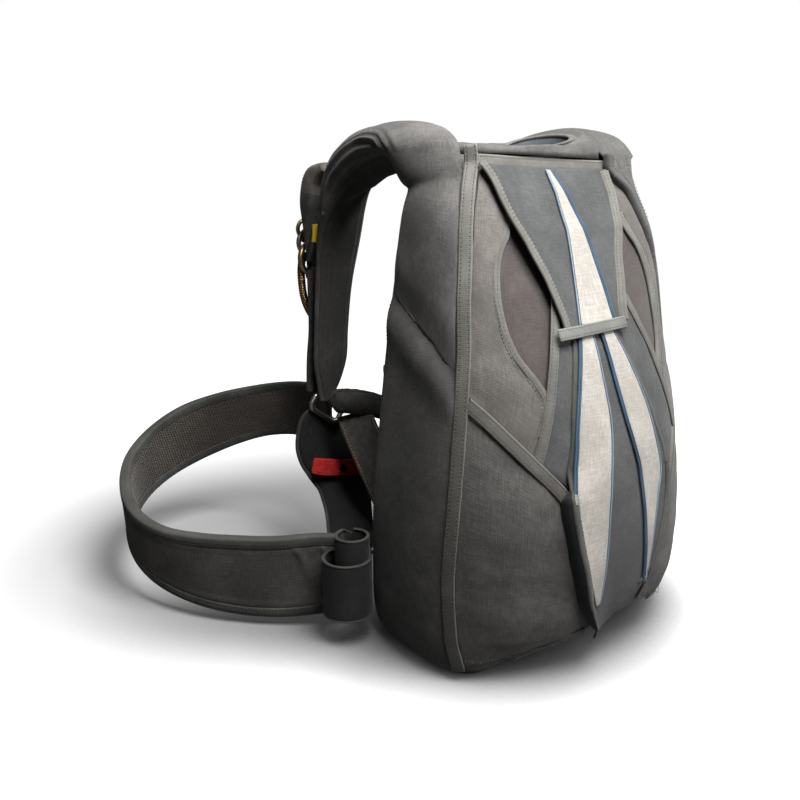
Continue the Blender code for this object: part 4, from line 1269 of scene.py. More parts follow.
# the harness
strap = {
    # rows from the shoulder to the tip: rear edge, middle line and front edge, each x y z, and thickness
    "rows": (
        (-0.1215, -0.0170, 0.436, -0.1400, 0.0120, 0.436, -0.1220, 0.0430, 0.434, 0.0050),
        (-0.1200, -0.0175, 0.450, -0.1398, 0.0130, 0.450, -0.1245, 0.0450, 0.447, 0.0062),
        (-0.1190, -0.0175, 0.466, -0.1395, 0.0140, 0.463, -0.1300, 0.0500, 0.458, 0.0074),
        (-0.1180, -0.0160, 0.481, -0.1365, 0.0175, 0.479, -0.1380, 0.0500, 0.470, 0.0110),
        (-0.1130, -0.0070, 0.493, -0.1340, 0.0290, 0.492, -0.1400, 0.0560, 0.483, 0.0180),
        (-0.1010, 0.0180, 0.502, -0.1300, 0.0450, 0.498, -0.1395, 0.0660, 0.489, 0.0270),
        (-0.0900, 0.0500, 0.502, -0.1200, 0.0700, 0.498, -0.1380, 0.0850, 0.488, 0.0390),
        (-0.0840, 0.0860, 0.499, -0.1130, 0.0980, 0.495, -0.1360, 0.1080, 0.484, 0.0480),
        (-0.0800, 0.1230, 0.494, -0.1100, 0.1270, 0.490, -0.1350, 0.1320, 0.474, 0.0500),
        (-0.0780, 0.1530, 0.480, -0.1080, 0.1550, 0.477, -0.1340, 0.1560, 0.459, 0.0460),
        (-0.0755, 0.1800, 0.456, -0.1055, 0.1800, 0.454, -0.1330, 0.1770, 0.434, 0.0270),
        (-0.0730, 0.2020, 0.403, -0.1005, 0.2000, 0.402, -0.1280, 0.1970, 0.401, 0.0160),
        (-0.0753, 0.2160, 0.352, -0.1015, 0.2100, 0.352, -0.1277, 0.2040, 0.352, 0.0140),
        (-0.0795, 0.2198, 0.302, -0.1045, 0.2130, 0.302, -0.1295, 0.2062, 0.302, 0.0130),
        (-0.0838, 0.2175, 0.265, -0.1080, 0.2110, 0.265, -0.1322, 0.2045, 0.265, 0.0120),
        (-0.0965, 0.2118, 0.241, -0.1130, 0.2080, 0.241, -0.1295, 0.2042, 0.241, 0.0110),
        (-0.1082, 0.2078, 0.227, -0.1180, 0.2060, 0.227, -0.1278, 0.2042, 0.227, 0.0090),
        (-0.1180, 0.2047, 0.217, -0.1220, 0.2040, 0.217, -0.1260, 0.2033, 0.217, 0.0060),
    ),
    # the right strap, whose shoulder is fuller, starts with these rows; written as if it were the left one
    "fullerRows": (
        (-0.1020, -0.0300, 0.446, -0.1485, 0.0030, 0.446, -0.1260, 0.0480, 0.440, 0.0060),
        (-0.0960, -0.0290, 0.458, -0.1515, -0.0020, 0.463, -0.1300, 0.0490, 0.450, 0.0080),
        (-0.0890, -0.0265, 0.470, -0.1495, -0.0020, 0.480, -0.1370, 0.0500, 0.458, 0.0100),
        (-0.0850, -0.0220, 0.481, -0.1440, 0.0010, 0.493, -0.1420, 0.0540, 0.460, 0.0115),
        (-0.0850, -0.0100, 0.494, -0.1340, 0.0125, 0.504, -0.1420, 0.0620, 0.460, 0.0130),
        (-0.0900, 0.0150, 0.504, -0.1270, 0.0380, 0.508, -0.1400, 0.0700, 0.488, 0.0240),
        (-0.0890, 0.0480, 0.507, -0.1240, 0.0680, 0.507, -0.1385, 0.0880, 0.488, 0.0320),
        (-0.0850, 0.0860, 0.505, -0.1180, 0.0980, 0.500, -0.1360, 0.1080, 0.484, 0.0360),
        (-0.0815, 0.1230, 0.496, -0.1130, 0.1270, 0.490, -0.1345, 0.1320, 0.474, 0.0360),
        (-0.0790, 0.1530, 0.480, -0.1090, 0.1550, 0.475, -0.1340, 0.1560, 0.458, 0.0340),
    ),
    "around": 80,
    "steps": 170,
    "mapLength": 0.78,
    "mapHalf": 0.032,
    "softened": (0.40, 0.492, 0.075, 24),  # between two heights, behind this y, and in how many passes
    "rootEnd": 0.26,  # the share of it that lies on the side panel, from the fold upwards
    "blendFrom": 0.17,
    "rootTop": 0.470,
    "rootThick": 0.0046,
    "rearGap": 0.10,  # how far round from the seam it starts
    "channels": (0.52, 0.76),  # sewn channels beside each edge, as a share of the half width
    "channelDepth": 0.0013,
    "ridges": (1.75, 1.25, 0.80, 0.42, 0.06, -0.30),  # folds that run along the outer edge of the arch
    "ridgeHeight": 0.0032,
    "wrinkle": 0.0013,
    "fill": 0.75,
}
# rows of the bands: middle x y z, direction across x y z, width, thickness, how far the middle bows out
riser = {
    "rows": (
        (-0.106, 0.197, 0.481, 1.0, 0.0, 0.0, 0.040, 0.010, 0.0),
        (-0.107, 0.217, 0.471, 1.0, 0.0, 0.0, 0.049, 0.022, 0.0),
        (-0.108, 0.225, 0.446, 1.0, 0.0, 0.0, 0.050, 0.025, 0.0),
        (-0.108, 0.227, 0.420, 1.0, 0.0, 0.0, 0.046, 0.015, 0.0),
        (-0.107, 0.227, 0.385, 1.0, 0.0, 0.0, 0.043, 0.008, 0.0),
        (-0.106, 0.228, 0.352, 1.0, 0.0, 0.0, 0.043, 0.006, 0.0),
    ),
    "ribbedUpTo": 0.34,  # the share of it that is covered in brown ribbing
}
liftWeb = {
    "rows": (
        (-0.108, 0.2235, 0.372, 1.0, 0.0, 0.0, 0.046, 0.004, 0.0),
        (-0.107, 0.2265, 0.305, 1.0, 0.0, 0.0, 0.043, 0.005, 0.0),
        (-0.112, 0.2250, 0.262, 1.0, 0.0, 0.0, 0.043, 0.005, 0.0),
        (-0.116, 0.2220, 0.224, 1.0, 0.0, 0.0, 0.042, 0.005, 0.0),
    ),
}
hip = {
    "rollRows": (
        (-0.133, 0.1725, 0.2250, 0.0, -0.3, 0.95, 0.014, 0.014, 0.0),
        (-0.128, 0.1715, 0.2245, 0.0, -0.3, 0.95, 0.025, 0.025, 0.0),
        (-0.112, 0.1690, 0.2220, 0.0, -0.3, 0.95, 0.027, 0.027, 0.0),
        (-0.090, 0.1620, 0.2170, 0.1, -0.3, 0.95, 0.027, 0.024, 0.0),
        (-0.072, 0.1440, 0.2090, 0.2, -0.3, 0.95, 0.027, 0.018, 0.0),
        (-0.062, 0.1180, 0.2000, 0.2, -0.1, 0.95, 0.029, 0.012, 0.0),
        (-0.060, 0.0900, 0.1940, 0.2, 0.0, 0.95, 0.030, 0.007, 0.0),
    ),
    "lateralRows": (
        (-0.104, 0.1725, 0.2050, 0.80, -0.55, 0.15, 0.041, 0.004, 0.0),
        (-0.112, 0.1520, 0.1950, 0.80, -0.55, 0.15, 0.041, 0.004, 0.0),
        (-0.116, 0.1280, 0.1740, 0.80, -0.55, 0.15, 0.041, 0.004, 0.0),
        (-0.117, 0.1020, 0.1460, 0.80, -0.55, 0.15, 0.041, 0.004, 0.0),
        (-0.115, 0.0840, 0.1200, 0.85, -0.45, 0.15, 0.041, 0.004, 0.0),
        (-0.112, 0.0740, 0.0980, 0.90, -0.30, 0.05, 0.041, 0.004, 0.0),
    ),
    "padRows": (
        (-0.112, 0.221, 0.1950, 1.0, 0.0, 0.0, 0.040, 0.008, 0.0),
        (-0.116, 0.223, 0.1850, 1.0, 0.0, 0.0, 0.060, 0.011, 0.0),
        (-0.114, 0.222, 0.1600, 1.0, 0.0, 0.0, 0.074, 0.012, 0.0),
        (-0.108, 0.213, 0.1350, 1.0, -0.1, 0.0, 0.070, 0.012, 0.0),
        (-0.107, 0.194, 0.1130, 1.0, -0.2, 0.0, 0.060, 0.011, 0.0),
        (-0.118, 0.170, 0.1000, 0.9, -0.4, 0.0, 0.052, 0.010, 0.0),
        (-0.133, 0.145, 0.0930, 0.85, -0.5, 0.0, 0.048, 0.009, 0.0),
        (-0.149, 0.120, 0.0860, 0.8, -0.6, 0.0, 0.046, 0.008, 0.0),
        (-0.163, 0.099, 0.0780, 0.8, -0.6, 0.0, 0.040, 0.006, 0.0),
    ),
    "snapAt": 0.66,
    "snapRadius": 0.0052,
    "tabRows": (
        (-0.147, 0.1975, 0.1440, 0.10, 0.15, 0.98, 0.018, 0.003, 0.0),
        (-0.132, 0.1925, 0.1400, 0.10, 0.00, 0.99, 0.021, 0.003, 0.0),
        (-0.110, 0.1895, 0.1360, 0.15, 0.10, 0.98, 0.019, 0.003, 0.0),
        (-0.084, 0.1880, 0.1320, 0.20, 0.10, 0.98, 0.020, 0.003, 0.0),
    ),
}


def edgeOfBand(rows, side, reach, lift, steps, low=0.0, high=1.0, face=1):
    # stations along a band, at reach of its half width from the middle, on one face
    stations = []
    for i in range(steps + 1):
        middle, across, outward, (width, thick, bow) = bandFrame(rows, low + (high - low) * i / steps)
        here = middle + across * (side * reach * width / 2)
        rise = thick / 2 * (1 - abs(reach) ** 5) ** 0.4
        here += outward * (face * (rise + lift) - bow * reach * reach)
        stations.append((here, across, outward * face))
    return stations


def boundRims(name, rows, reach, steps, low, high, profile):
    # a rolled binding along each long edge of a band
    rims = []
    for side in (-1, 1):
        rim = edgeOfBand(rows, side, reach, 0.0, steps, low, high)
        rims.append(sweep("rim", rim, profile, "darkBinding"))
    return join(name, *rims)


# the padded yoke round the neck opening
collar = {
    "neck": (0.021, 0.018, 0.036, 0.031),  # middle x y and half sizes of the opening
    "rimHeight": (0.4945, 0.24, 0.09),  # its height at the rear, and how it climbs along x and y
    "outer": (0.0015, 0.0305, 0.1030, 0.0480),
    "foot": 0.4875,
    "square": 0.55,  # how square the outer edge is
    "crest": 0.0034,
    "leftRise": 0.0075,
    "rightRise": 0.0030,
    "foldDepth": 0.0022,
    "around": 120,
    "steps": 34,
    "fill": 0.8,
}


def neckRim(turn):  # the opening's edge, turn going round from +X
    x, y, wide, deep = collar["neck"]
    x, y = x + wide * math.cos(turn), y + deep * math.sin(turn)
    low, alongX, alongY = collar["rimHeight"]
    return Vector((x, y, low + alongX * max(x, 0.3 * x) + alongY * (y - collar["neck"][1] + deep)))


def collarSpot(turn, share):
    # share 0 is the rim, 1 the outer foot
    rim = neckRim(turn)
    x, y, wide, deep = collar["outer"]
    c, s = math.cos(turn), math.sin(turn)
    outX = x + wide * math.copysign(abs(c) ** collar["square"], c)
    outY = y + deep * math.copysign(abs(s) ** collar["square"], s)
    px, py = rim.x + (outX - rim.x) * share, rim.y + (outY - rim.y) * share
    right = ramp(c, -0.1, 0.6)
    top = rim.z + right * collar["crest"] * math.sin(math.pi * min(1.0, share * 1.2)) ** 0.7
    top += collar["leftRise"] * ramp(px, -0.055, -0.102) + collar["rightRise"] * ramp(px, 0.050, 0.080)
    top -= 0.0035 * ramp(px, 0.0, -0.03) * ramp(py, 0.03, 0.055)
    top -= collar["foldDepth"] * right * (bell(share, 0.22, 0.07) + 0.8 * bell(share, 0.62 + 0.1 * s, 0.07))
    top -= 0.0012 * bell(turn % (2 * math.pi), 5.35, 0.10) * bell(share, 0.4, 0.4)
    top += wrinkle((px, py, 0.2), 0.016, 0.0014) * min(1.0, share * 4)
    height = collar["foot"] + (top - collar["foot"]) * max(0.0, 1 - share ** 5) ** 0.5
    return Vector((px, py, height))


def makeCollar():
    steps = collar["steps"]

    def place(u, v):
        turn = 2 * math.pi * u
        row = round(v * steps)
        rim = neckRim(turn)
        if row <= 4:  # the inner wall, from its foot up
            inward = 0.0030 * math.sin(math.pi * row / 4)
            x, y = collar["neck"][:2]
            out = Vector((rim.x - x, rim.y - y, 0)).normalized() * -inward
            return Vector((rim.x, rim.y, collar["foot"] + (rim.z - collar["foot"]) * row / 4)) + out
        if row < steps:
            return collarSpot(turn, (row - 4) / (steps - 5))
        return Vector((rim.x, rim.y, collar["foot"]))

    mesh, shares = gridMesh(collar["around"], steps, place, (0.40, 0.10))
    for face in mesh.faces:
        v = sum(shares[corner][1] for corner in face.verts) / len(face.verts)
        face.material_index = 1 if v < 3.9 / steps else 0
    closeAndTurn(mesh)
    piece = makeObject("collarPad", mesh, "side", "lining")
    keep(piece, "charcoal_cloth", "collar")
    rim = []
    for i in range(121):
        turn = 2 * math.pi * i / 120
        ahead, behind = neckRim(turn + 0.05), neckRim(turn - 0.05)
        forward = (ahead - behind).normalized()
        here = neckRim(turn)
        outward = Vector((here.x - collar["neck"][0], here.y - collar["neck"][1], 0)).normalized()
        sideways = (outward - forward * outward.dot(forward)).normalized()
        upward = Vector((0, -0.55, 0.83))
        upward = (upward - forward * upward.dot(forward)).normalized()
        rim.append((here + sideways * 0.0008 + Vector((0, 0, 0.0006)), sideways, upward))
    bound = sweep("neckBinding", rim, ovalProfile(0.0062, 0.0036), "binding", True)
    keep(bound, "binding_tape")
    sewn = stitches("neckStitches", [shifted(rim, 0.0015, 0.0017)], "darkThread")
    keep(sewn, "binding_tape")


@functools.lru_cache(maxsize=None)
def strapRow(full, t):
    rows = strap["rows"]
    if full:
        rows = strap["fullerRows"] + rows[len(strap["fullerRows"]):]
    return along(rows, (t - strap["blendFrom"]) / (1 - strap["blendFrom"]))


def strapMiddle(full, a, t):
    # the strap's middle surface, a from -1 in front to 1 at the rear, t from its root to its tip:
    # on the side panel at first, then free over the shoulder
    free = ramp(t, strap["blendFrom"], strap["rootEnd"] + 0.03)
    onPanel, over = Vector(), Vector()
    if free < 1:
        q = min(1.0, t / strap["rootEnd"])
        share = (a + 1) / 2
        rough = foldHeight(-2.9) + (strap["rootTop"] - foldHeight(-2.9)) * q
        rear = -2 - tapeShift(rough, full) - strap["rearGap"]
        s = -sidePanel["front"] + 0.02 + (rear + sidePanel["front"] - 0.02) * share
        z = foldHeight(s) + (strap["rootTop"] - foldHeight(s)) * q
        edge = full * fuller(z) * share ** 2
        lift = layers["side"] + layers["cloth"] + sidePanel["fullerEdge"] * edge + strapThick(full, t) * 0.30
        onPanel = onPack(s, z, lift)
    if free > 0:
        here = strapRow(full, t)
        rear, middle, front = Vector(here[0:3]), Vector(here[3:6]), Vector(here[6:9])
        over = middle + (rear - front) * (a / 2) + ((rear + front) / 2 - middle) * (a * a)
    return onPanel * (1 - free) + over * free


def strapThick(full, t):
    free = ramp(t, strap["blendFrom"], strap["rootEnd"] + 0.03)
    root = strap["rootThick"] * (0.12 + 0.88 * ramp(t, 0.0, 0.07)) * (1 + 0.9 * ramp(t, 0.10, strap["rootEnd"]))
    return root * (1 - free) + strapRow(full, t)[9] * free


def strapSpot(full, a, t):
    # the middle surface's point, its direction across and its outward direction
    step = 0.004
    here = strapMiddle(full, a, t)
    across = strapMiddle(full, a + 0.04, t) - strapMiddle(full, a - 0.04, t)
    forward = strapMiddle(full, a, min(1.0, t + step)) - strapMiddle(full, a, max(0.0, t - step))
    return here, across.normalized(), across.cross(forward).normalized()


def strapRelief(a, n, t):
    start = ramp(t, 0.62, 0.70) * ramp(t, 0.97, 0.90)
    relief = -strap["channelDepth"] * start * sum(bell(abs(a), c, 0.05) for c in strap["channels"])
    relief += wrinkle((a * 1.5, t * 11.0, n), 1.0, strap["wrinkle"]) * ramp(t, 0.24, 0.40)
    return relief


def makeStrap(name, full, node):
    last = strap["steps"] + 2
    endShrink = {0: 0.0, 1: 0.8, last - 1: 0.72, last: 0.0}
    length = strap["mapLength"]

    def place(u, v):
        row = round(v * last)
        t = max(0.0, min(1.0, (row - 1) / strap["steps"]))
        a, n = flatOval(2 * math.pi * u, (0.60, 0.85))
        here, across, outward = strapSpot(full, a * endShrink.get(row, 1.0), t)
        lift = n * strapThick(full, t) / 2 * endShrink.get(row, 1.0)
        girth = n if a < -0.8 or n < 0 else n + (a + 0.8) * 2.2  # how far round from the underside
        arch = ramp(t, 0.31, 0.42) * ramp(t, 0.76, 0.62) * ramp(-a, 0.10, 0.5)
        ridge = strap["ridgeHeight"] * arch * sum(bell(girth, c, 0.11) for c in strap["ridges"])
        lift += math.copysign(strapRelief(a, n, t), n) * min(1, abs(n) * 1.6)
        return here + outward * (lift + ridge * n) - across * (ridge * ramp(-a, 0.5, 0.8))

    mesh, shares = gridMesh(strap["around"], last, place, (1.0, length))
    layer = mesh.loops.layers.uv["cloth"]
    for face in mesh.faces:
        u = sum(shares[v][0] for v in face.verts) / 4
        v = sum(shares[v][1] for v in face.verts) / 4
        a, n = flatOval(2 * math.pi * u)
        # painted shade: faces on the strap's underside take the darker hip cloth, standing in for the shade
        # under the strap
        face.material_index = 1 if n < -0.1 else 0
        for corner in face.loops:
            cornerU, cornerV = shares[corner.vert]
            corner[layer].uv = (flatOval(2 * math.pi * cornerU)[0] * strap["mapHalf"], cornerV * length)
    closeAndTurn(mesh)
    low, high, behind, passes = strap["softened"]
    soft = [v for v in mesh.verts if low < v.co.z < high and v.co.y < behind]
    for _ in range(passes):
        bmesh.ops.smooth_vert(mesh, verts=soft, factor=0.5, use_axis_x=True, use_axis_y=True, use_axis_z=True)
    band = makeObject(name, mesh, "side", "hipClothAndStrapShade")

    def line(reach, low, high, count, lift):
        stations = []
        for i in range(count + 1):
            t = low + (high - low) * i / count
            here, across, outward = strapSpot(full, reach, t)
            rise = strapThick(full, t) / 2 * max(0.0, 1 - abs(reach) ** 3) ** 0.45
            stations.append((here + outward * (rise + lift), across, outward))
        return stations

    rims = [
        sweep("rim", line(edge, start, 0.99, 130, 0.0), ovalProfile(0.0070, 0.0052), "darkBinding")
        for edge, start in ((-0.985, 0.66), (0.985, 0.68))
    ]
    bound = join(name + "Binding", *rims)
    sewn = [line(edge * reach, 0.66, 0.94, 90, -0.0012) for edge in (-1, 1) for reach in strap["channels"]]
    if full:
        sewn += [line(reach, 0.19, 0.52, 90, 0.0001) for reach in (0.86, 0.66)]
    sewn = stitches(name + "Stitches", sewn, "darkThread")
    if full:
        for piece in (band, bound, sewn):
            flip(piece)
    keep(band, "charcoal_cloth", node)
    keep(bound, "binding_tape")
    keep(sewn, "binding_tape")


def makeStraps():
    makeStrap("shoulderStrapLeft", 0.0, "shoulder_strap_left")
    makeStrap("shoulderStrapRight", 1.0, "shoulder_strap_right")


def makeRisers():
    def folded(a, n, v):
        return 0.0009 * math.sin(v * 120) * ramp(v, riser["ribbedUpTo"], riser["ribbedUpTo"] - 0.08)

    piece = paddedBand(
        "riser", riser["rows"], 36, 80, ("webbing", "ribbing"), folded,
        lambda a, n, v: 1 if v < riser["ribbedUpTo"] else 0, (0.35, 0.6),
    )
    keepPair(piece, "dark_cloth", "riser")
    web = paddedBand("liftWeb", liftWeb["rows"], 24, 40, ("webbing",), fullness=(0.2, 0.5))
    keepPair(web, "dark_cloth", "lift_web")
    rows = [
        edgeOfBand(liftWeb["rows"], side, reach, 0.0, 50, 0.05, 0.98, -1)
        for side in (-1, 1)
        for reach in (0.62, 0.82)
    ]
    keepPair(stitches("liftWebStitches", rows, "darkThread"), "dark_cloth")


def makeHips():
    def rolled(a, n, v):
        return 0.0010 * math.sin(v * 46 + a * 3) + wrinkle((a, v * 7, n), 0.8, 0.0016)

    piece = paddedBand("hipRoll", hip["rollRows"], 28, 60, ("hipClothAndStrapShade",), rolled, fullness=(0.8, 0.8))
    for side in keepPair(piece, "dark_cloth", "hip_roll"):
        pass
    web = paddedBand("lateralBand", hip["lateralRows"], 24, 60, ("hipWebbing",), fullness=(0.15, 0.5))
    keepPair(web, "dark_cloth", "lateral_band")
    rows = [
        edgeOfBand(hip["lateralRows"], side, 0.86, 0.0002, 70, 0.03, 0.97, face)
        for side in (-1, 1)
        for face in (-1, 1)
    ]
    keepPair(stitches("lateralStitches", rows, "orangeThread", pitch=0.0042, size=1.25), "dark_cloth")

    def quilted(a, n, v):
        return -0.0012 * (bell(abs(a), 0.66, 0.06) + bell(v, 0.45, 0.02)) + wrinkle((a, v * 4, n), 0.7, 0.0012)

    pad = paddedBand(
        "hipPad", hip["padRows"], 40, 64, ("black", "mesh"), quilted,
        lambda a, n, v: 1 if n > 0.5 and abs(a) < 0.8 else 0,
    )
    for side in keepPair(pad, "dark_cloth", "hip_pad"):
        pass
    bound = boundRims("hipPadBinding", hip["padRows"], 0.99, 60, 0.02, 0.98, ovalProfile(0.0065, 0.0050))
    keepPair(bound, "binding_tape")
    tab = paddedBand(
        "redTab", hip["tabRows"], 20, 44, ("redWebbing",),
        lambda a, n, v: 0.0010 * math.sin(v * 22 + a), fullness=(0.2, 0.5),
    )
    keep(tab, "red_webbing", "red_tab_left")
    middle, across, outward, (_, thick, _) = bandFrame(hip["tabRows"], hip["snapAt"])
    facing = outward if outward.y < 0 else -outward
    stations = []
    for rise, swell in ((0.0000, 1.0), (0.0012, 1.0), (0.0020, 0.84), (0.0023, 0.50)):
        stations.append((middle + facing * (thick / 2 + rise), across * swell, facing.cross(across) * swell))
    snap = sweep("tabSnap", stations, roundProfile(hip["snapRadius"], 18), "plastic")
    keep(snap, "dark_cloth")


# metal and plastic fittings
fittings = {
    # middle, radius, wire radius, tilt and finish of the three release rings
    "rings": (
        ("large_ring", (-0.1085, 0.2420, 0.3800), 0.0190, 0.0034, 84, "gold"),
        ("middle_ring", (-0.1085, 0.2515, 0.3975), 0.0150, 0.0029, 84, "steel"),
        ("small_ring", (-0.1085, 0.2590, 0.4130), 0.0110, 0.0024, 84, "gold"),
    ),
    "housing": (
        (-0.1205, 0.2500, 0.380), (-0.1228, 0.2492, 0.367), (-0.1240, 0.2465, 0.351), (-0.1235, 0.2435, 0.336),
        (-0.1205, 0.2395, 0.322), (-0.1150, 0.2340, 0.310), (-0.1110, 0.2270, 0.303),
    ),
    # each ring's webbing loop at the riser: y, and the height of its two ends above the ring's lowest wire
    "loops": ((0.2290, 0.0010, -0.0075), (0.2300, 0.0065, 0.0005), (0.2310, 0.0110, 0.0050)),
    "loopWidth": (0.0230, 0.0180, 0.0120),
    "loopThick": 0.0016,
    "housingRadius": 0.0048,
    "coilPitch": 0.0026,
    # name, radius, finish and route
    "tips": (
        (
            "cableTip", 0.0030, "yellow",
            ((-0.1262, 0.2150, 0.4000), (-0.1250, 0.2148, 0.4100), (-0.1243, 0.2150, 0.4200)),
        ),
        (
            "cableSleeve", 0.0042, "plastic",
            ((-0.1320, 0.2180, 0.3790), (-0.1300, 0.2165, 0.3900), (-0.1270, 0.2155, 0.4010)),
        ),
        (
            "paleToggle", 0.0026, "bone",
            ((-0.1190, 0.2130, 0.4035), (-0.1180, 0.2128, 0.4065), (-0.1172, 0.2130, 0.4095)),
        ),
    ),
    "adapterWire": 0.0031,
    "adapterMiddle": (-0.116, 0.2125, 0.206),
    "adapterSize": (0.044, 0.020),
    "adapterSlope": math.radians(-36),
}


def wireRing(name, middle, radius, wire, turn, material):
    # a circle of wire spun round the ring's own middle
    mesh = bmesh.new()
    mesh.loops.layers.uv.new("cloth")
    start = Matrix.Translation((radius, 0, 0)) @ Matrix.Rotation(math.radians(90), 4, "X")
    bmesh.ops.create_circle(mesh, segments=14, radius=wire, matrix=start)
    around = {"cent": (0, 0, 0), "axis": (0, 0, 1), "angle": math.radians(360), "steps": 56}
    bmesh.ops.spin(mesh, geom=mesh.verts[:] + mesh.edges[:], use_merge=True, **around)
    bmesh.ops.transform(mesh, matrix=Matrix.Translation(middle) @ turn, verts=mesh.verts[:])
    closeAndTurn(mesh)
    return makeObject(name, mesh, material)


def makeRings():
    for node, middle, radius, wire, tilt, material in fittings["rings"]:
        turn = Matrix.Rotation(math.radians(tilt), 4, "X")
        name = "".join(word.capitalize() for word in node.split("_"))
        keepPair(wireRing("release" + name, middle, radius, wire, turn, material), "steel", node)


def makeRingLoops():
    # the webbing that holds each ring: out from the riser, round the ring's lower wire and back
    thick = fittings["loopThick"]
    bands = []
    sizes = zip(fittings["rings"], fittings["loops"], fittings["loopWidth"])
    for (_, middle, radius, wire, tilt, _), (back, high, low), width in sizes:
        lean = math.radians(tilt)
        foot = Vector(middle) - Vector((0, math.cos(lean), math.sin(lean))) * radius
        spots = [(Vector((foot.x, back, foot.z + high)), Vector((0, 0, 1)))]
        for i in range(13):
            turn = math.pi / 2 - math.pi * i / 12
            out = Vector((0, math.cos(turn), math.sin(turn)))
            spots.append((foot + out * (wire + 0.0002), out))
        spots.append((Vector((foot.x, back, foot.z + low)), Vector((0, 0, -1))))
        bands.append(sweep("loop", openStations(spots), tapeProfile(width, thick), "black"))
    keepPair(join("ringLoops", *bands), "dark_cloth")


def makeHousings():
    # a coiled metal hose: a ridge for each turn of its wire
    steps = 240
    stations = cordStations(fittings["housing"], steps)
    length = sum((b[0] - a[0]).length for a, b in zip(stations, stations[1:]))
    ridged = []
    for i, (here, sideways, upward) in enumerate(stations):
        swell = 1 - 0.10 * (0.5 + 0.5 * math.cos(2 * math.pi * i / steps * length / fittings["coilPitch"]))
        ridged.append((here, sideways * swell, upward * swell))
    hose = sweep("cableHousing", ridged, roundProfile(fittings["housingRadius"], 14), "bronze")
    keepPair(hose, "bronze_housing", "cable_housing")


def makeTips():
    # the cable's yellow end, the black sleeve it leaves and a pale toggle beside them
    for name, radius, material, route in fittings["tips"]:
        rod = sweep(name, cordStations(route, 12), roundProfile(radius, 12), material)
        keep(rod, "dark_cloth")


def makeAdapters():
    long, short = (size / 2 for size in fittings["adapterSize"])
    turn = Matrix.Rotation(-fittings["adapterSlope"], 3, "Y")
    corners = []
    for a, b in ((-1, -0.5), (-0.8, -1), (0.8, -1), (1, -0.5), (1, 0.5), (0.8, 1), (-0.8, 1), (-1, 0.5)):
        corners.append(Vector(fittings["adapterMiddle"]) + turn @ Vector((a * long, 0, b * short)))
    upward = Vector((0, 1, 0))
    stations = []
    count = 96
    for i in range(count + 1):
        t = (i % count) / count * 8
        k = int(t)
        here = corners[k].lerp(corners[(k + 1) % 8], t - k)
        ahead = corners[(k + 1) % 8] - corners[k]
        stations.append((here, upward.cross(ahead).normalized(), upward))
    wire = sweep("strapAdapter", stations, roundProfile(fittings["adapterWire"], 10), "steel", True)
    keepPair(wire, "steel", "strap_adapter")


# leg straps
leg = {
    # rows of: x, y, low and high edge, thickness, lean outwards
    "rows": (
        (-0.134, 0.146, 0.062, 0.086, 0.006, 0.000), (-0.154, 0.112, 0.042, 0.086, 0.007, 0.000),
        (-0.174, 0.094, 0.026, 0.096, 0.008, 0.000), (-0.192, 0.096, 0.018, 0.104, 0.009, 0.000),
        (-0.210, 0.109, 0.014, 0.104, 0.010, 0.001), (-0.236, 0.130, 0.011, 0.101, 0.011, 0.002),
        (-0.266, 0.160, 0.011, 0.100, 0.011, 0.003), (-0.296, 0.198, 0.016, 0.099, 0.011, 0.004),
        (-0.318, 0.242, 0.026, 0.099, 0.011, 0.004), (-0.327, 0.288, 0.040, 0.107, 0.011, 0.004),
        (-0.319, 0.336, 0.056, 0.122, 0.011, 0.003), (-0.293, 0.381, 0.072, 0.142, 0.011, 0.002),
        (-0.250, 0.412, 0.086, 0.162, 0.011, 0.000), (-0.200, 0.424, 0.100, 0.180, 0.011, -0.002),
        (-0.152, 0.414, 0.116, 0.192, 0.011, -0.003), (-0.113, 0.388, 0.130, 0.201, 0.010, -0.002),
        (-0.088, 0.350, 0.138, 0.209, 0.009, 0.000), (-0.079, 0.308, 0.141, 0.214, 0.008, 0.000),
        (-0.082, 0.270, 0.142, 0.213, 0.008, 0.000), (-0.092, 0.243, 0.142, 0.208, 0.007, 0.000),
    ),
    "around": 56,
    "steps": 190,
    "bindingWidth": 0.0125,
    "quilt": ((0.150, -0.9), (0.205, -0.9)),  # where the two diagonal sewn creases cross the middle
    "quiltDepth": 0.0026,
    "wrinkle": 0.0016,
    "fill": 0.7,
    "rollMiddle": (-0.194, 0.063),
    "rollRadius": (0.0246, 0.0168),
    "rollShift": (0.0042, -0.0034),  # the inner turn leans to one side
    "rollTurns": 2.0,
    "rollStart": math.radians(55),
    "rollCloth": 0.0026,
    "rollLow": (0.031, 0.040),
    "rollHigh": (0.091, 0.115),
}


def legBands():  # the same rows as for the other bands
    bands = []
    count = 40
    for i in range(count + 1):
        share = i / count
        x, y, low, high, thick, lean = along(leg["rows"], share)
        ahead, behind = along(leg["rows"], share + 0.01), along(leg["rows"], share - 0.01)
        forward = Vector((ahead[0] - behind[0], ahead[1] - behind[1], 0)).normalized()
        outward = forward.cross(Vector((0, 0, -1)))
        upright = (Vector((0, 0, high - low)) + outward * lean).normalized()
        bands.append((x, y, (low + high) / 2, *upright, high - low, thick, 0.0))
    return bands


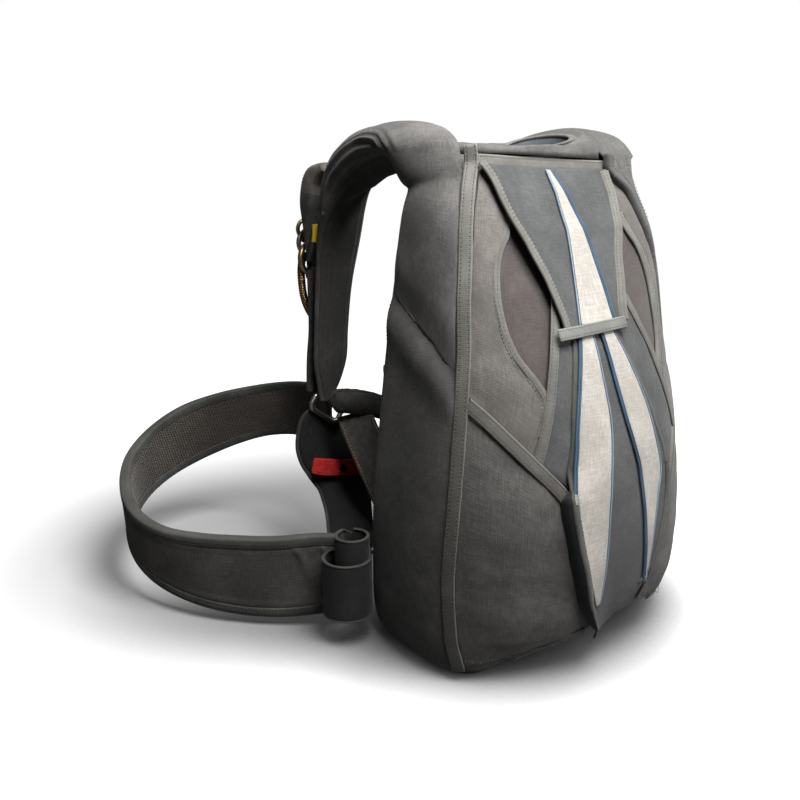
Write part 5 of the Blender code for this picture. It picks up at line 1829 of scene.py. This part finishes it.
def makeLegPads():
    bands = legBands()

    def quilted(a, n, v):
        diagonal = sum(bell(v + slope * a * 0.035, at, 0.006) for at, slope in leg["quilt"])
        relief = -leg["quiltDepth"] * diagonal * ramp(abs(a), 0.85, 0.6)
        relief -= 0.0010 * bell(abs(a), 0.70, 0.045)
        relief += wrinkle((a * 1.2, v * 16.0, 0.0), 1.0, leg["wrinkle"]) * (1 - abs(a))
        return relief

    def sideOf(a, n, v):
        if abs(a) > 0.93:
            return 0
        return 1 if n * outSide < 0 else 0

    middle, across, outward, _ = bandFrame(bands, 0.4)
    outSide = 1 if outward.dot(middle - Vector((-0.2, 0.26, 0.1))) > 0 else -1
    cloths = ("leg", "mesh")
    pad = paddedBand("legPad", bands, leg["around"], leg["steps"], cloths, quilted, sideOf, (0.45, 0.7))
    for side in keepPair(pad, "charcoal_cloth", "leg_pad"):
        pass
    rims, rows = [], []
    width = leg["bindingWidth"]
    for edge in (-1, 1):
        stations = []
        for i in range(201):
            middle, across, outward, (high, thick, _) = bandFrame(bands, 0.004 + 0.992 * i / 200)
            here = middle + across * (edge * (high / 2 - width / 2 + 0.0010))
            stations.append((here, across * edge, outward, thick))
        rim = [(a, b, c * (t / 0.011)) for a, b, c, t in stations]  # thinner where the pad is
        rims.append(sweep("rim", rim, ovalProfile(width, 0.0128, 18, (0.45, 0.6)), "darkBinding"))
        for face in (-1, 1):
            for aside in (-0.0038, 0.0002):
                rows.append([(a + b * aside + c * (face * t * 0.578), b, c * face) for a, b, c, t in stations])
    keepPair(join("legPadBinding", *rims), "binding_tape")
    keepPair(stitches("legPadStitches", rows, "darkThread", pitch=0.0042), "binding_tape")


def wound(share, ends):  # from the outer turn's value to the inner one's
    blend = max(0.0, min(1.0, (share - 0.42) / 0.16))
    return ends[0] + (ends[1] - ends[0]) * blend


def makeLegRolls():
    bands = []
    count = 64
    for i in range(count + 1):
        share = i / count
        angle = leg["rollStart"] + 2 * math.pi * leg["rollTurns"] * share
        radius, aside = wound(share, leg["rollRadius"]), wound(share, (0.0, 1.0))
        low, high = wound(share, leg["rollLow"]), wound(share, leg["rollHigh"])
        x = leg["rollMiddle"][0] + leg["rollShift"][0] * aside + radius * math.cos(angle)
        y = leg["rollMiddle"][1] + leg["rollShift"][1] * aside + radius * math.sin(angle)
        bands.append((x, y, (low + high) / 2, 0, 0, 1, high - low, leg["rollCloth"], 0.0))
    roll = paddedBand("legRoll", bands, 26, 150, ("black",), fullness=(0.12, 0.6))
    keepPair(roll, "dark_cloth", "leg_roll")
    bound = boundRims("legRollBinding", bands, 0.995, 150, 0.01, 0.99, ovalProfile(0.0022, 0.0036, 8))
    keepPair(bound, "dark_cloth")


backPad = {
    "top": 0.452,
    "bottom": 0.040,
    "round": (4.42, 5.58),  # how far round it starts and ends
    "thick": 0.006,
    "flat": (0.24, 0.42),
}


def makeBackPad():
    start, end = backPad["round"]

    def place(u, v):
        z = backPad["top"] + (backPad["bottom"] - backPad["top"]) * v
        s = start + (end - start) * u
        belly = math.sin(math.pi * v) ** 0.5 * math.sin(math.pi * u) ** 0.5
        seam = bell(v, 0.33, 0.012) + bell(v, 0.66, 0.012) + bell(abs(u - 0.5), 0.30, 0.012)
        relief = 0.0022 * belly - 0.0030 * seam * belly + wrinkle((u * 3, v * 6, 0), 1.0, 0.0012) * belly
        return onPack(s, z, layers["onPack"] + 0.003 * belly + relief)

    pad = clothSheet("backPad", place, 60, 90, backPad["thick"], backPad["flat"], "mesh", 0)
    del pad["cutArea"]
    keep(pad, "dark_cloth", "back_pad")
    rims = []
    for edge in ("left", "right", "top", "bottom"):
        rim = edgeStations(place, edge, 70, 0.004, 0.003)
        rims.append(sweep("rim", rim, ovalProfile(0.010, 0.0080), "darkBinding"))
    keep(join("backPadBinding", *rims), "binding_tape")


# making it all
for make in (
    makePackCover, makeSidePanels, makeRearPanels, makePinFlap, makeMainFlap, makeInlays, makeTapes,
    makeCollar, makeBackPad, makeStraps, makeRisers, makeHips,
    makeRings, makeRingLoops, makeHousings, makeTips, makeAdapters, makeLegPads, makeLegRolls,
):
    make()
    print(make.__name__, "done")


# floor, light and camera
studio = {
    "floor": 3.2,
    "keyAt": (-0.11, -0.39, 1.08),
    "keyAim": (0.0, 0.05, 0.25),
    "keySize": 0.66,
    "keyPower": 20.5,
    "fillAt": (0.95, -1.5, 0.75),
    "fillAim": (-0.05, 0.05, 0.25),
    "fillSize": 0.9,
    "fillPower": 13.0,
    "ambient": 0.044,
    "floorGlow": 0.15,
    "cameraAt": (-0.614, -0.542, 0.44),
    "heading": -39.0,
    "pitch": 14.0,
    "lens": 35.0,
}


def makeFloor():
    mesh = bmesh.new()
    bmesh.ops.create_circle(mesh, cap_ends=True, segments=96, radius=studio["floor"] * 4)
    data = bpy.data.meshes.new("floor")
    mesh.to_mesh(data)
    mesh.free()
    floor = bpy.data.objects.new("floor", data)
    scene.collection.objects.link(floor)
    paint = Paint("floorPaint")
    seen = paint.add("ShaderNodeLightPath")
    # painted shadow: ambient occlusion darkens the floor's colour and its glow near the pieces
    near = paint.add("ShaderNodeAmbientOcclusion", {"samples": 8}, {"Distance": 0.10}, out="AO")
    bare = near * near
    shown = paint.mix(bare, rgb(0.04, 0.04, 0.04), rgb(0.66, 0.66, 0.66))
    tone = paint.mix(seen, rgb(0.12, 0.12, 0.12), shown)
    where = paint.add("ShaderNodeTexCoord", out="Object")
    # painted shadow: the floor glows to the camera more with distance from a point left of and behind the pack,
    # so it is darker round the pack on that side
    middle = (-0.12, 0.30, 0.0)
    away = paint.add("ShaderNodeVectorMath", {"operation": "DISTANCE"}, {0: where, 1: middle}, out=1)
    glow = (studio["floorGlow"] + away.limited(0.20, 0.56) * (1.0 - studio["floorGlow"])) * bare
    paint.feed(paint.shader.inputs["Base Color"], tone)
    paint.shader.inputs["Roughness"].default_value = 0.9
    paint.shader.inputs["Emission Color"].default_value = rgb(1.0, 1.0, 1.0)
    paint.feed(paint.shader.inputs["Emission Strength"], seen * glow)
    data.materials.append(paint.material)


def makeLight(name, at, target, size, power):
    data = bpy.data.lights.new(name, "AREA")
    data.shape = "DISK"
    data.size = size
    data.energy = power
    lamp = bpy.data.objects.new(name, data)
    aim = Vector(target) - Vector(at)
    lamp.matrix_world = Matrix.Translation(at) @ aim.to_track_quat("-Z", "Y").to_matrix().to_4x4()
    scene.collection.objects.link(lamp)


def makeStudio():
    makeFloor()
    makeLight("key", studio["keyAt"], studio["keyAim"], studio["keySize"], studio["keyPower"])
    makeLight("fill", studio["fillAt"], studio["fillAim"], studio["fillSize"], studio["fillPower"])
    world = bpy.data.worlds.new("studio")
    world.use_nodes = True
    scene.world = world
    nodes, links = world.node_tree.nodes, world.node_tree.links
    background = nodes["Background"]
    path = nodes.new("ShaderNodeLightPath")
    level = nodes.new("ShaderNodeMapRange")
    level.inputs["To Min"].default_value = studio["ambient"]
    level.inputs["To Max"].default_value = 1.0
    links.new(path.outputs["Is Camera Ray"], level.inputs["Value"])
    links.new(level.outputs[0], background.inputs["Strength"])
    background.inputs["Color"].default_value = rgb(1.0, 1.0, 1.0)
    data = bpy.data.cameras.new("camera")
    data.lens = studio["lens"]
    data.sensor_width = 36.0
    camera = bpy.data.objects.new("camera", data)
    heading = Matrix.Rotation(math.radians(studio["heading"]), 4, "Z")
    pitch = Matrix.Rotation(math.radians(90 - studio["pitch"]), 4, "X")
    camera.matrix_world = Matrix.Translation(studio["cameraAt"]) @ (heading @ pitch)
    scene.collection.objects.link(camera)
    scene.camera = camera
    scene.view_settings.view_transform = "Standard"


makeStudio()
print("studio ready")
